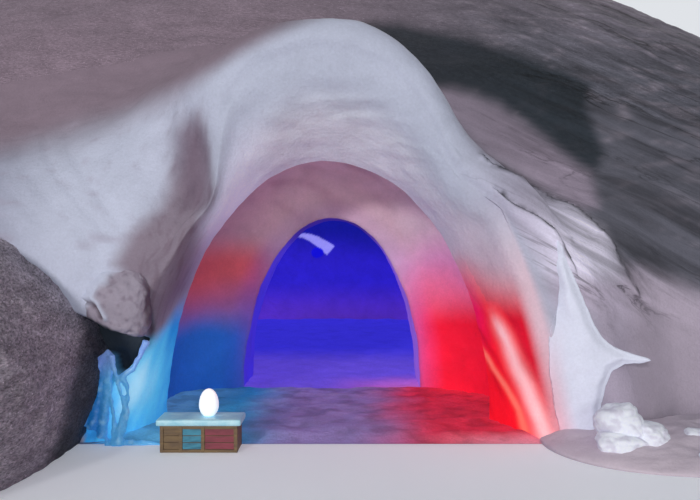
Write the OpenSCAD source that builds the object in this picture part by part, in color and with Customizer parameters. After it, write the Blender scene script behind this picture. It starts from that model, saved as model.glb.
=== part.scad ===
// Walk-in snow house: a wind-packed mound over a domed chamber, reached through a
// bell-mouthed hood, a small domed porch and an arched doorway in a thick bulkhead.
// Millimetres, +Z up. The entrance faces -Y. The origin is on the ground, in the
// middle of the plan. "Depth" always means the distance behind the hood's lip.

/* [Mound] */
// Half of the mound's width at the ground
mound_half_width = 9000; // [8000:100:11000]
// Height of the mound over the chamber
mound_height = 6200; // [5600:100:7200]
// From the chamber's centre forward to the mound's front toe
mound_front_reach = 6400; // [6000:50:6800]
// From the chamber's centre back to the rear toe
mound_back_reach = 6900; // [6000:50:9000]

/* [Chamber] */
// Half of the chamber's width at the floor
chamber_half_width = 4000; // [3000:50:5000]
// Clear height of the chamber under its crown
chamber_height = 4200; // [3200:50:4850]
// Half of the chamber's depth
chamber_half_depth = 3700; // [3300:50:4300]

/* [Hood] */
// Height of the hood's crest
hood_height = 3650; // [3200:10:4200]
// Reach of the hood's right foot from the entrance axis
hood_right_reach = 2600; // [2300:10:3200]
// Reach of the hood's left foot from the entrance axis
hood_left_reach = 3300; // [3000:10:4000]
// How far the right side draws in under its round top
hood_waist = 170; // [0:10:220]
// Depth of the bell mouth, from the lip to the throat
hood_depth = 800; // [600:10:1100]
// Least thickness of the snow at the lip
lip_thickness = 90; // [60:5:150]
// Radius of the rounded brow over the mouth
brow_radius = 350; // [200:10:450]
// Radius of the softer shoulder left of the mouth
shoulder_radius = 1500; // [900:10:1800]
// Clear half width of the mouth at the lip, at the ground
mouth_half_width = 1950; // [1800:10:2300]

/* [Throat] */
// Half of the throat's width at the ground
throat_half_width = 1500; // [1200:10:1700]
// Clear height of the throat
throat_height = 2430; // [2200:10:2800]

/* [Porch] */
// Half of the porch's width at the floor
porch_half_width = 1750; // [1600:10:2100]
// Clear height of the porch
porch_height = 2600; // [2500:10:3000]
// Depth of the porch, from the throat to the doorway
porch_depth = 1600; // [1300:10:2000]

/* [Doorway] */
// Half of the doorway's width at the floor
door_half_width = 1000; // [800:10:1150]
// Clear height of the doorway
door_height = 1950; // [1800:10:2250]
// Thickness of the snow from the porch to the chamber at the doorway
bulkhead_thickness = 900; // [700:10:1200]

/* [Floors] */
// Thickness of the trodden snow floors
floor_thickness = 60; // [40:5:120]
// Gap between a floor and the walls round it
floor_gap = 8; // [5:1:15]

/* [Left wing] */
// How far the left wing bank runs forward of the lip
wing_reach = 2900; // [2200:10:3600]
// Distance of the wing's ridge from the entrance axis
wing_offset = 3600; // [3400:10:4200]
// Half of the wing's width at the hood
wing_half_width = 1850; // [1500:10:1950]
// Height of the wing at the hood
wing_height = 2000; // [1700:10:2250]
// Height of the drift that rises behind the wing
drift_height = 2350; // [2300:10:2600]

/* [Left boss] */
// Distance of the boss's middle from the entrance axis
boss_offset = 1665; // [1550:5:1800]
// Height of the boss's middle above the ground
boss_level = 1140; // [1000:10:1400]
// Width of the rounded boss of snow on the left cheek
boss_width = 560; // [400:10:700]
// Height of the boss
boss_height = 640; // [400:10:800]
// How far the boss stands out
boss_depth = 220; // [150:10:450]

/* [Right side] */
// Height of the fin on the right foot of the lip
fin_height = 820; // [500:10:1100]
// How far the fin stands out sideways
fin_reach = 420; // [250:10:600]
// Thickness of the fin and its buttress
fin_thickness = 90; // [50:5:160]
// Distance of the right drift's middle from the entrance axis
apron_offset = 3300; // [2800:10:4500]
// Height of the low drift at the right toe
apron_height = 220; // [120:10:400]
// Distance of the largest lump of cut snow from the entrance axis
clod_offset = 2400; // [2300:10:2900]
// Size of the largest lump
clod_size = 560; // [300:10:650]

/* [Bench and lamp] */
// Length of the low bench
bench_length = 680; // [500:10:900]
// Width of the bench
bench_width = 320; // [250:10:450]
// Height of the bench with its top
bench_height = 270; // [200:5:400]
// Thickness of the bench's top
bench_top = 55; // [30:5:80]
// Diameter of the egg lamp
lamp_diameter = 160; // [100:5:220]
// Height of the egg lamp
lamp_height = 220; // [140:5:300]

/* [Hidden] */

// Depths of the joints between the rings of snow
throat_at = hood_depth;
door_at = throat_at + porch_depth;
chamber_at = door_at + bulkhead_thickness;
centre_at = chamber_at + chamber_half_depth;
toe_angle = 87;
rear_toe_at = centre_at + mound_back_reach*sin(toe_angle);
porch_end_at = throat_at + 0.62*porch_depth;
bulkhead_end_at = chamber_at + 0.03*chamber_half_depth;
chamber_end_at = centre_at + 0.955*chamber_half_depth;
// The plan's middle is the origin
plan_shift = -(rear_toe_at - wing_reach)/2;

// Shape exponents: 2 is an ellipse, more is squarer, less is more pointed
mound_right_form = 2;
mound_left_form = 2.8;
hood_right_form = 1.4;
hood_left_form = 1.6;
mouth_right_form = 1.6;
mouth_left_form = 1.2;
throat_form = 2;
porch_form = 2.2;
door_form = 2;
chamber_form = 2.2;
mound_plan_power = 0.385;
mound_rise_power = 0.75;
blend_form = 8;
crest_turn_right = 0.1;
crest_turn_left = 0.04;
ridge_fall = 0.12;
flank_rise = 0.9;
bank_rise = 0.28;
saddle_fill = 300;
wing_undercut = 0.16;
bell_power = 0.6;

// Angles round the entrance axis, from the right foot over the crown to the left foot
right_wall_top = 40;
right_haunch_top = 74;
crown_end = 106;
left_haunch_end = 140;
left_foot = 180;
segment_step = 6.8;

snow = "whitesmoke";
packed_snow = "lavender";
blue_ice = "lightskyblue";

function clamp01(v) = min(1, max(0, v));
function ease(a, b, v) = let (q = clamp01((v - a)/(b - a))) q*q*(3 - 2*q);
function mix(a, b, q) = a + (b - a)*q;
function over(a, b) = pow(pow(a, blend_form) + pow(b, blend_form), 1/blend_form);

function swell(t, middle, width) = exp(-pow((t - middle)/width, 2));

// Radius of a rounded arch outline at an angle t, for a ray with a given sideways share
function outline(side, w, h, form, t) = pow(pow(side/w, form) + pow(abs(sin(t))/h, form), -1/form);
function arch(w, h, form, t) = outline(abs(cos(t)), w, h, form, t);
// The sideways share of a ray, rounded off so that the hood and the mouth have no sharp ridge
function soft_side(t) =
    let (turn = t > 90 ? crest_turn_left : crest_turn_right)
    (sqrt(pow(cos(t), 2) + turn*turn) - turn)/(sqrt(1 + turn*turn) - turn);

function mound_fill(at) =
    let (reach = at < centre_at ? mound_front_reach : mound_back_reach)
    max(0.0001, 1 - pow((at - centre_at)/reach, 2));
function mound_radius(t, at) =
    arch(mound_half_width*pow(mound_fill(at), mound_plan_power),
         mound_height*pow(mound_fill(at), mound_rise_power),
         t > 90 ? mound_left_form : mound_right_form, t);
// Past the doorway the hood's ridge and the drift run out under the mound
function run_out(at) = 1 - 0.98*ease(door_at, centre_at, at);
// The ridge falls a little from the lip back. The right side draws in under its round top and spreads
// back into the flank, and left of the crest snow has filled the hood up to the mound and the drift
function hood_radius(t, at) =
    (outline(soft_side(t),
             t > 90 ? hood_left_reach : hood_right_reach,
             hood_height - ridge_fall*at,
             t > 90 ? hood_left_form : hood_right_form, t)
        - hood_waist*swell(t, 65, 8.5) + flank_rise*at*ease(54, 28, t)
        + bank_rise*at*ease(92, 118, t) + saddle_fill*swell(t, 141, 7))*run_out(at);
// The half round drift behind the wing, seen from the entrance axis: rays below drift_rise_angle
// meet its outline, and above that angle it eases out into the hood's shoulder
drift_squeeze = pow(wing_offset/wing_half_width, 2) - 1;
drift_rise_angle = 180 - atan(drift_height/wing_half_width/sqrt(drift_squeeze));
function drift_ray(t) =
    let (a = pow(cos(t)/wing_half_width, 2) + pow(sin(t)/drift_height, 2),
         b = -cos(t)*wing_offset/pow(wing_half_width, 2))
    (b + sqrt(max(0, b*b - a*drift_squeeze)))/a;
function drift_radius(t, at) =
    (t >= drift_rise_angle ? drift_ray(t)
        : drift_ray(drift_rise_angle)*ease(95, drift_rise_angle, t))*run_out(at);
function full_radius(t, at) =
    over(over(hood_radius(t, at), mound_radius(t, at)), max(1, drift_radius(t, at)));
// The lip turns over in a quarter round: tight on the right foot, wide on the left shoulder,
// smaller where the drift rises over the wing, and square at the drift's far foot
function lip_round(t) =
    t < 90 ? mix(0.3*brow_radius, brow_radius, ease(25, 70, t))
    : mix(brow_radius, shoulder_radius, ease(98, 126, t))
        *(1 - 0.75*ease(133, 147, t))*(1 - ease(155, 172, t));
function rounded_radius(t, at) =
    let (r = lip_round(t) + 1, left = 1 - min(1, at/r))
    full_radius(t, at) - r*(1 - sqrt(1 - left*left));
function outer_radius(t, at) =
    max(rounded_radius(t, at), at < door_at ? inner_radius(t, at) + lip_thickness : 0);

// Clear outlines of the mouth, throat, porch, doorway and chamber
function lip_clear(t) =
    max(throat_clear(t) + 0.1*hood_depth,
        min(outline(soft_side(t), mouth_half_width, hood_height - brow_radius - lip_thickness,
                    mix(mouth_right_form, mouth_left_form, ease(95, 130, t)), t),
            rounded_radius(t, 0) - lip_thickness));
function throat_clear(t) = arch(throat_half_width, throat_height, throat_form, t);
function bell_clear(t, at) =
    mix(lip_clear(t), throat_clear(t), pow(at/hood_depth, bell_power));
function porch_clear(t, at) =
    let (q = (at - throat_at)/porch_depth,
         round_off = sqrt(1 - pow(q, 5)),
         neck = pow(clamp01(1 - q/0.3), 2))
    arch(mix(door_half_width, porch_half_width, round_off) - (porch_half_width - throat_half_width)*neck,
         mix(door_height, porch_height, round_off) - (porch_height - throat_height)*neck,
         mix(throat_form, porch_form, clamp01(q*2)) + (door_form - porch_form)*(1 - round_off), t);
function door_clear(t) = arch(door_half_width, door_height, door_form, t);
function chamber_clear(t, at) =
    let (k = sqrt(max(0.0001, 1 - pow((at - centre_at)/chamber_half_depth, 2))))
    arch(chamber_half_width*k, chamber_height*k, chamber_form, t);
function inner_radius(t, at) =
    at <= throat_at ? bell_clear(t, at)
    : at < door_at ? porch_clear(t, at)
    : at < centre_at ? over(door_clear(t), chamber_clear(t, at))
    : chamber_clear(t, at);

function spot(t, at, r) = [r*cos(t), at + plan_shift, r*sin(t)];
function spread(a, b, step) = let (n = max(1, round((b - a)/step))) [for (i = [0:n]) mix(a, b, i/n)];

// Two triangles for a four-cornered face, always split along the same diagonal
function pair(a, b, c, d) = [[a, b, c], [a, c, d]];

// A curved block of snow between two angles and along a list of depths
module snow_block(t0, t1, depths) {
    angles = spread(t0, t1, segment_step);
    nt = len(angles);
    ns = len(depths);
    points = [for (at = depths) for (t = angles) for (k = [0, 1])
        spot(t, at, k == 0 ? inner_radius(t, at) : outer_radius(t, at))];
    function id(i, j, k) = (j*nt + i)*2 + k;
    function side(i, j) = pair(id(i, j, 0), id(i, j, 1), id(i, j + 1, 1), id(i, j + 1, 0));
    function end(i, j) = [[id(i, j, 0), id(i + 1, j, 0), id(i + 1, j, 1)],
                          [id(i, j, 0), id(i + 1, j, 1), id(i, j, 1)]];
    function flip(faces) = [for (f = faces) [f[2], f[1], f[0]]];
    faces = [
        for (j = [0:ns - 2]) for (i = [0:nt - 2]) each concat(
            pair(id(i, j, 1), id(i + 1, j, 1), id(i + 1, j + 1, 1), id(i, j + 1, 1)),
            flip(pair(id(i, j, 0), id(i + 1, j, 0), id(i + 1, j + 1, 0), id(i, j + 1, 0)))),
        for (i = [0:nt - 2]) each concat(end(i, 0), flip(end(i, ns - 1))),
        for (j = [0:ns - 2]) each concat(side(0, j), flip(side(nt - 1, j)))
    ];
    polyhedron(points, faces);
}

// A solid heap on the ground, through rows of points from its right foot to its left
module heap(rows, middles) {
    nt = len(rows[0]);
    ns = len(rows);
    points = concat([for (row = rows) each row], middles);
    function id(i, j) = j*nt + i;
    function mid(j) = ns*nt + j;
    faces = [
        for (j = [0:ns - 2]) for (i = [0:nt - 2])
            each pair(id(i, j), id(i + 1, j), id(i + 1, j + 1), id(i, j + 1)),
        for (i = [0:nt - 2]) [mid(0), id(i + 1, 0), id(i, 0)],
        for (i = [0:nt - 2]) [mid(ns - 1), id(i, ns - 1), id(i + 1, ns - 1)],
        for (j = [0:ns - 2]) each pair(mid(j), id(0, j), id(0, j + 1), mid(j + 1)),
        for (j = [0:ns - 2]) each pair(id(nt - 1, j), mid(j), mid(j + 1), id(nt - 1, j + 1))
    ];
    polyhedron(points, faces);
}

// A closed lump through rings of points, with flat ends
module ring_lump(rings) {
    n = len(rings[0]);
    m = len(rings);
    points = [for (ring = rings) each ring];
    faces = concat(
        [for (j = [0:m - 2]) for (i = [0:n - 1]) each pair(
            j*n + i, j*n + (i + 1)%n, (j + 1)*n + (i + 1)%n, (j + 1)*n + i)],
        [[for (i = [n - 1:-1:0]) i]],
        [[for (i = [0:n - 1]) (m - 1)*n + i]]);
    polyhedron(points, faces);
}

hood_depths = [for (q = [0, 0.03, 0.09, 0.18, 0.32, 0.5, 0.74, 1]) q*hood_depth];
porch_depths = [for (q = [0, 0.07, 0.16, 0.27, 0.39, 0.5, 0.62]) throat_at + q*porch_depth];
bulkhead_depths = concat([porch_end_at],
    [for (q = [0.74, 0.84, 0.91, 0.96, 0.99, 0.999]) throat_at + q*porch_depth],
    [for (q = [0, 0.33, 0.67, 1]) mix(door_at, chamber_at, q)], [bulkhead_end_at]);
chamber_front_depths = concat([bulkhead_end_at],
    [for (a = [70:-10:10]) centre_at - chamber_half_depth*sin(a)], [centre_at]);
chamber_rear_depths = concat([centre_at],
    [for (a = [10:10:60]) centre_at + chamber_half_depth*sin(a)], [chamber_end_at]);
rear_depths = concat([chamber_end_at],
    [for (a = [asin((chamber_end_at - centre_at)/mound_back_reach) + 7:8:toe_angle - 3])
        centre_at + mound_back_reach*sin(a)], [rear_toe_at]);

// Hood
module hood_right_cheek() { color(snow) snow_block(0, right_wall_top, hood_depths); }
module hood_right_haunch() { color(snow) snow_block(right_wall_top, right_haunch_top, hood_depths); }
module hood_crown() { color(snow) snow_block(right_haunch_top, crown_end, hood_depths); }
module hood_left_haunch() { color(snow) snow_block(crown_end, left_haunch_end, hood_depths); }
module hood_left_cheek() { color(snow) snow_block(left_haunch_end, left_foot, hood_depths); }

// Porch
module porch_right_wall() { color(snow) snow_block(0, right_wall_top, porch_depths); }
module porch_right_haunch() { color(snow) snow_block(right_wall_top, right_haunch_top, porch_depths); }
module porch_roof() { color(snow) snow_block(right_haunch_top, crown_end, porch_depths); }
module porch_left_haunch() { color(snow) snow_block(crown_end, left_haunch_end, porch_depths); }
module porch_left_wall() { color(snow) snow_block(left_haunch_end, left_foot, porch_depths); }

// Bulkhead with the doorway
module bulkhead_right() { color(snow) snow_block(0, right_wall_top, bulkhead_depths); }
module bulkhead_right_haunch() { color(snow) snow_block(right_wall_top, right_haunch_top, bulkhead_depths); }
module bulkhead_head() { color(snow) snow_block(right_haunch_top, crown_end, bulkhead_depths); }
module bulkhead_left_haunch() { color(snow) snow_block(crown_end, left_haunch_end, bulkhead_depths); }
module bulkhead_left() { color(snow) snow_block(left_haunch_end, left_foot, bulkhead_depths); }

// Chamber, front half
module chamber_front_right() { color(snow) snow_block(0, right_wall_top, chamber_front_depths); }
module chamber_front_right_haunch() {
    color(snow) snow_block(right_wall_top, right_haunch_top, chamber_front_depths);
}
module chamber_front_crown() { color(snow) snow_block(right_haunch_top, crown_end, chamber_front_depths); }
module chamber_front_left_haunch() {
    color(snow) snow_block(crown_end, left_haunch_end, chamber_front_depths);
}
module chamber_front_left() { color(snow) snow_block(left_haunch_end, left_foot, chamber_front_depths); }

// Chamber, rear half
module chamber_rear_right() { color(snow) snow_block(0, right_wall_top, chamber_rear_depths); }
module chamber_rear_right_haunch() {
    color(snow) snow_block(right_wall_top, right_haunch_top, chamber_rear_depths);
}
module chamber_rear_crown() { color(snow) snow_block(right_haunch_top, crown_end, chamber_rear_depths); }
module chamber_rear_left_haunch() {
    color(snow) snow_block(crown_end, left_haunch_end, chamber_rear_depths);
}
module chamber_rear_left() { color(snow) snow_block(left_haunch_end, left_foot, chamber_rear_depths); }

// The solid bank behind the chamber
module rear_bank() {
    angles = spread(0, left_foot, segment_step);
    color(snow) heap(
        [for (at = rear_depths) [for (t = angles) spot(t, at, outer_radius(t, at))]],
        [for (at = rear_depths) spot(0, at, 0)]);
}

// Floors of trodden snow, drawn inside the clear outline at the ground
module floor_slab(depths, inset) {
    right = [for (at = depths) [inner_radius(0, at) - inset, at + plan_shift]];
    left = [for (k = [len(depths) - 1:-1:0])
        [-inner_radius(left_foot, depths[k]) + inset, depths[k] + plan_shift]];
    linear_extrude(floor_thickness) polygon(concat(right, left));
}
module porch_floor() {
    color(packed_snow) floor_slab(concat(hood_depths, porch_depths,
        [for (q = [0.74, 0.84, 0.91, 0.96, 0.99]) throat_at + q*porch_depth]), floor_gap);
}
module doorway_floor() {
    color(packed_snow) floor_slab(
        [throat_at + 0.995*porch_depth + floor_gap, door_at, chamber_at - floor_gap], floor_gap);
}
module chamber_floor() {
    color(packed_snow) floor_slab(concat([chamber_at, bulkhead_end_at],
        [for (a = [72:-8:-64]) centre_at - chamber_half_depth*sin(a)],
        [chamber_end_at - floor_gap]), floor_gap);
}

// The bank that flanks the way in on the left
module left_wing() {
    angles = spread(0, left_foot, 12);
    spreads = [for (a = [0:11:toe_angle]) a];
    function row(a) =
        let (k = cos(a), w = wing_half_width*pow(k, 0.7), h = wing_height*pow(k, 0.9))
        [for (t = angles)
            let (r = arch(w, h, 2, t),
                 foot = 1 - wing_undercut*pow(clamp01(1 - r*sin(t)/(0.42*h)), 2))
            [-wing_offset + foot*r*cos(t), plan_shift - wing_reach*sin(a), r*sin(t)]];
    backward = concat([90 - 2], [for (k = [len(spreads) - 1:-1:0]) spreads[k]]);
    tip = [for (t = angles) let (r = arch(wing_half_width*0.1, wing_height*0.03, 2, t))
        [-wing_offset + r*cos(t), plan_shift - wing_reach, r*sin(t)]];
    rows = concat([tip], [for (k = [1:len(backward) - 1]) row(backward[k])]);
    color(snow) heap(rows, [for (r = rows) [-wing_offset, r[0][1], 0]]);
}

// A rounded lump standing out of the left cheek
module left_boss() {
    middle = [-boss_offset, plan_shift - 1, boss_level];
    rings = [for (a = [84, 70, 50, 28, 0]) [for (b = [0:20:340])
        middle + [0.5*boss_width*cos(a)*cos(b), -boss_depth*sin(a), 0.5*boss_height*cos(a)*sin(b)]]];
    color(snow) ring_lump(rings);
}

// Thin ribs of ice that bridge a hollow at the foot of the left cheek
module rod(a, b, d) {
    run = b - a;
    length = norm(run);
    translate(a)
        rotate([0, acos(run[2]/length), atan2(run[1], run[0])])
            cylinder(d = d, h = length, $fn = 6);
}
module ice_ribs() {
    foot = [30 - mouth_half_width, plan_shift - 60, 0];
    color(blue_ice) {
        rod(foot + [0, 0, 30], foot + [150, 0, 745], 70);
        rod(foot + [205, 0, 30], foot + [320, 0, 790], 60);
        rod(foot + [40, 0, 180], foot + [225, 0, 240], 50);
        rod(foot + [100, 0, 460], foot + [275, 0, 500], 50);
    }
}

// The thin buttress on the right foot of the lip, with a fin that hooks outward
module right_fin() {
    foot = mouth_half_width + 20;
    tip = hood_right_reach + fin_reach - 330;
    z = fin_height;
    outline = [[foot, 0], [foot - 70, 0.6*z], [foot - 130, 1.16*z], [foot - 110, 1.6*z],
               [foot - 50, 1.97*z], [foot + 30, 1.72*z], [foot + 130, 1.38*z], [foot + 290, 1.1*z],
               [tip - 190, 0.96*z], [tip, 0.88*z], [tip - 30, 0.83*z], [tip - 190, 0.81*z],
               [tip - 310, 0.72*z], [tip - 380, 0.55*z], [tip - 420, 0.3*z], [tip - 430, 0]];
    color(snow) translate([0, plan_shift - 1, 0]) rotate([90, 0, 0])
        linear_extrude(fin_thickness) polygon(outline);
}

// A low smooth drift at the right toe
module right_apron() {
    angles = spread(0, left_foot, 15);
    rows = [for (a = [80:-16:0]) [for (t = angles)
        let (r = arch(1500*pow(cos(a), 0.6), apron_height*cos(a), 2, t))
        [apron_offset + r*cos(t), plan_shift - 4 - 1000*sin(a), r*sin(t)]]];
    color(snow) heap(rows, [for (r = rows) [apron_offset, r[0][1], 0]]);
}

// Lumps of cut snow lying at the right foot
module clod(x, at, size, turn) {
    translate([x, at + plan_shift, 0]) rotate([0, 0, turn]) ring_lump(
        [for (level = [[1, 0], [1.08, 0.35], [0.92, 0.75], [0.5, 1]])
            [for (b = [0:60:300])
                [0.5*size*level[0]*cos(b), 0.4*size*level[0]*sin(b), 0.6*size*level[1]]]]);
}
module snow_clods() {
    color(snow) {
        clod(clod_offset, -0.72*clod_size, clod_size, 20);
        clod(clod_offset + 0.9*clod_size, -0.75*clod_size, 0.42*clod_size, 75);
        clod(clod_offset + 1.45*clod_size, -0.6*clod_size, 0.35*clod_size, 130);
        clod(clod_offset + 0.8*clod_size, -1.4*clod_size, 0.27*clod_size, 45);
    }
}

// Bench and lamp
module place_bench() { translate([-1010, plan_shift - 150, 0]) children(); }
module bench_box() {
    color("sienna") place_bench()
        translate([-bench_length/2 + 30, -bench_width/2 + 20, 0])
            cube([bench_length - 60, bench_width - 40, bench_height - bench_top]);
}
module bench_top_slab() {
    color("gainsboro") place_bench()
        translate([-bench_length/2, -bench_width/2, bench_height - bench_top])
            cube([bench_length, bench_width, bench_top]);
}
module egg_lamp() {
    wide_at = 0.4*lamp_height;
    cut = 60;
    color("white") place_bench() translate([60, 0, bench_height])
        rotate_extrude($fn = 48) polygon(concat([[0, 0]],
            [for (a = [-cut:12:84])
                [0.5*lamp_diameter*cos(a),
                 wide_at + (a < 0 ? wide_at/sin(cut) : lamp_height - wide_at)*sin(a)]],
            [[0, lamp_height]]));
}

hood_right_cheek();
hood_right_haunch();
hood_crown();
hood_left_haunch();
hood_left_cheek();
porch_right_wall();
porch_right_haunch();
porch_roof();
porch_left_haunch();
porch_left_wall();
bulkhead_right();
bulkhead_right_haunch();
bulkhead_head();
bulkhead_left_haunch();
bulkhead_left();
chamber_front_right();
chamber_front_right_haunch();
chamber_front_crown();
chamber_front_left_haunch();
chamber_front_left();
chamber_rear_right();
chamber_rear_right_haunch();
chamber_rear_crown();
chamber_rear_left_haunch();
chamber_rear_left();
rear_bank();
porch_floor();
doorway_floor();
chamber_floor();
left_wing();
left_boss();
ice_ribs();
right_fin();
right_apron();
snow_clods();
bench_box();
bench_top_slab();
egg_lamp();
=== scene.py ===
import math
from types import SimpleNamespace

import bmesh
import bpy
import numpy as np
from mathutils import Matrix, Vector


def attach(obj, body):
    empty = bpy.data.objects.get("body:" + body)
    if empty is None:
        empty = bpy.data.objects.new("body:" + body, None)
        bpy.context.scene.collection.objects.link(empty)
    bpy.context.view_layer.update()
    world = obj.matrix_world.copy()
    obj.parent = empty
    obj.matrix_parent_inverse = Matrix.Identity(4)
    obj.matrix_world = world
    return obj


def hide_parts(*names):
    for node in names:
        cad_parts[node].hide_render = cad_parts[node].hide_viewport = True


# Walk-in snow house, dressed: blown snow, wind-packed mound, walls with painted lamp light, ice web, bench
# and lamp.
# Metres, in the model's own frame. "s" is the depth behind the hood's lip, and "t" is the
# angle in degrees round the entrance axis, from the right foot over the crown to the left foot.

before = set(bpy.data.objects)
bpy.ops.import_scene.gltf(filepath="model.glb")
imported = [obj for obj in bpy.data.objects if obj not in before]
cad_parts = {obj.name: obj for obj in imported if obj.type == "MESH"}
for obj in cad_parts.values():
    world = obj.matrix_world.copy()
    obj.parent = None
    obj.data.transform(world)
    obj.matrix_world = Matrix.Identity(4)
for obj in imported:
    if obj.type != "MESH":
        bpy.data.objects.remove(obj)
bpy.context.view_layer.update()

# Sizes, as in the part's source
MOUND_WIDTH, MOUND_HEIGHT, MOUND_FRONT, MOUND_BACK = 9.0, 6.2, 6.4, 6.9
CHAMBER_WIDTH, CHAMBER_HEIGHT, CHAMBER_DEPTH = 4.0, 4.2, 3.7
HOOD_HEIGHT, HOOD_RIGHT, HOOD_LEFT, HOOD_DEPTH = 3.65, 2.6, 3.3, 0.8
HOOD_WAIST, RIDGE_FALL, FLANK_RISE, BANK_RISE, SADDLE_FILL = 0.17, 0.12, 0.9, 0.28, 0.30
LIP, BROW, SHOULDER, MOUTH_WIDTH = 0.09, 0.35, 1.5, 1.95
THROAT_WIDTH, THROAT_HEIGHT = 1.5, 2.43
PORCH_WIDTH, PORCH_HEIGHT, PORCH_DEPTH = 1.75, 2.6, 1.6
DOOR_WIDTH, DOOR_HEIGHT, BULKHEAD = 1.0, 1.95, 0.9
WING_REACH, WING_OFFSET, WING_WIDTH, WING_HEIGHT, DRIFT_HEIGHT = 2.9, 3.6, 1.85, 2.0, 2.35
APRON_OFFSET, APRON_WIDTH, APRON_HEIGHT = 3.3, 1.5, 0.22
FLOOR = 0.06

# Forms of the outlines: 2 is an ellipse, less is more pointed and more is squarer
ROUND_FORM, ROOM_FORM, BLEND_FORM = 2.0, 2.2, 8
MOUND_FORMS, HOOD_FORMS, MOUTH_FORMS = (2.0, 2.8), (1.4, 1.6), (1.6, 1.2)
CREST_TURNS = (0.1, 0.04)
MOUND_PLAN_POWER, MOUND_RISE_POWER, BELL_POWER = 0.385, 0.75, 0.6

# Depths of the joints between the rings of snow
THROAT_AT = HOOD_DEPTH
DOOR_AT = THROAT_AT + PORCH_DEPTH
CHAMBER_AT = DOOR_AT + BULKHEAD
CENTRE_AT = CHAMBER_AT + CHAMBER_DEPTH
TOE_ANGLE = 87
TOE_AT = CENTRE_AT + MOUND_BACK * math.sin(math.radians(TOE_ANGLE))
PLAN_SHIFT = -(TOE_AT - WING_REACH) / 2

# The photograph's camera: its place, its focal length in pixels, and its centre in the 700 x 500 frame
EYE = (0.2, PLAN_SHIFT - 6.9, 1.7)
FOCAL_PIXELS = 830.0
CENTRE_X, CENTRE_Y = 350.0, 240.0
FRAME_WIDTH, FRAME_MIDDLE = 700.0, 250.0

# Lines that the eye sees in the photograph's frame, in pixels
VALLEY_LINE = [(178, 84), (187, 124), (195, 162), (200, 196), (206, 226)]
CRACK_LINES = [
    ([(476, 152), (490, 166), (520, 180), (548, 198), (576, 210), (594, 224), (624, 258)], 0.045, 1.7),
    ([(490, 186), (506, 200), (534, 216), (552, 230), (562, 246), (580, 280)], 0.040, 1.1),
    ([(598, 232), (612, 247), (628, 276), (642, 300)], 0.030, 1.4),
]
LEDGE_LINES = [
    [(286, 107), (310, 100), (340, 97), (378, 98), (408, 105)],
    [(318, 124), (350, 115), (390, 117), (424, 130)],
    [(376, 146), (398, 141), (424, 150), (446, 172)],
    [(440, 138), (452, 150), (465, 166)],
]
WHITE_AREA = [
    (-260, 215), (-120, 170), (0, 134), (60, 130), (110, 121), (150, 106), (200, 80), (246, 52), (293, 27),
    (330, 10), (366, 15), (402, 36), (440, 66), (450, 94), (464, 122), (480, 148), (520, 178), (560, 204),
    (600, 230), (618, 262), (632, 320), (640, 470), (-260, 470)]
# CREVICE_LINE: the crevice at the boss's right, set back and painted dark as shade
CREVICE_LINE = [(121, 268), (136, 283), (144, 297), (149, 313), (151, 330), (149, 343)]
WORN_RIM = [(206, 110), (213, 150), (218, 190), (206, 235), (186, 262), (160, 276), (156, 300)]
# Painted shadow: where the hood's cast shadow falls on the mound's right flank, laid on as dark colour
HOOD_CAST_SHADOW = [
    (364, 22), (399, 21), (447, 30), (481, 42), (516, 53), (551, 65), (577, 75), (591, 84), (587, 104),
    (598, 132), (606, 152), (596, 170), (577, 160), (555, 143), (529, 121), (499, 100), (477, 91), (452, 84),
    (420, 84), (380, 66), (352, 40)]
MAUVE_BAND = [
    (410, 88), (452, 86), (500, 104), (555, 147), (590, 170), (598, 206), (580, 208), (560, 200), (520, 174),
    (476, 147), (440, 128)]
# RIGHT_FOOT is painted light: the lit face of a low bank at the right foot, as a lighter patch
RIGHT_FOOT = [(588, 268), (640, 270), (700, 296), (980, 340), (980, 470), (560, 470), (580, 330)]
JAMB = [
    (114, 264), (132, 232), (160, 206), (176, 150), (181, 130), (195, 112), (200, 150), (203, 200),
    (199, 240), (186, 290), (150, 346), (147, 327), (140, 297), (132, 284)]
# HOLLOW: the hollow under the boss, set back and painted dark as its shade
HOLLOW = [
    (50, 306), (98, 326), (146, 341), (135, 360), (125, 373), (116, 382), (107, 376), (103, 361), (93, 356),
    (80, 342)]
NICHE = [
    (113, 356), (101, 356), (92, 378), (84, 403), (76, 432), (114, 452), (128, 430), (130, 400), (122, 376)]
# Painted light: streaks of pale light on the red wall, each a line, a width in pixels and a colour
RED_LIGHT_STREAKS = [
    ([(492, 312), (506, 339), (516, 365), (528, 388), (541, 421), (548, 446)], 9.0, (255, 196, 200)),
    ([(480, 345), (493, 368), (507, 388), (520, 410), (527, 436)], 3.5, (255, 120, 104)),
]
CRESCENT = [
    (291, 236), (297, 234.2), (304, 233.4), (311, 234), (319, 236.6), (327, 241), (334.5, 246), (331, 250.5),
    (327, 255), (323.5, 252.5), (319, 247.5), (314, 243.8), (309, 240.3), (303, 237.6), (297, 237)]
CRESCENT_SPOT = (317.5, 252.5)
# Painted shade on the wing's right flank and lower right end
WING_PAINTED_SHADE = [(88, 322), (112, 340), (112, 450), (44, 474), (58, 432), (66, 395), (78, 352)]
BOSS_CURL = [(83, 298), (90, 297), (96, 302), (101, 310), (105, 319)]
BOSS_SLOT = [(85, 302), (91, 304), (96, 310), (100, 319)]

# Display colours, 0 to 255
BLOWN_WHITE, SHOULDER_WHITE = (190, 195, 214), (204, 209, 229)
CRUST_LEFT, CRUST_RIGHT = (178, 172, 192), (238, 232, 252)
# PACKED_GREY is painted shade: the darker grey of the mound's right side
PACKED_MAUVE, PACKED_GREY = (140, 123, 136), (86, 86, 96)
JAMB_MAUVE = (142, 125, 138)
LAMP_RED, LAMP_BLUE, LAMP_CYAN = (246, 16, 40), (24, 128, 208), (92, 196, 240)

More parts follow.
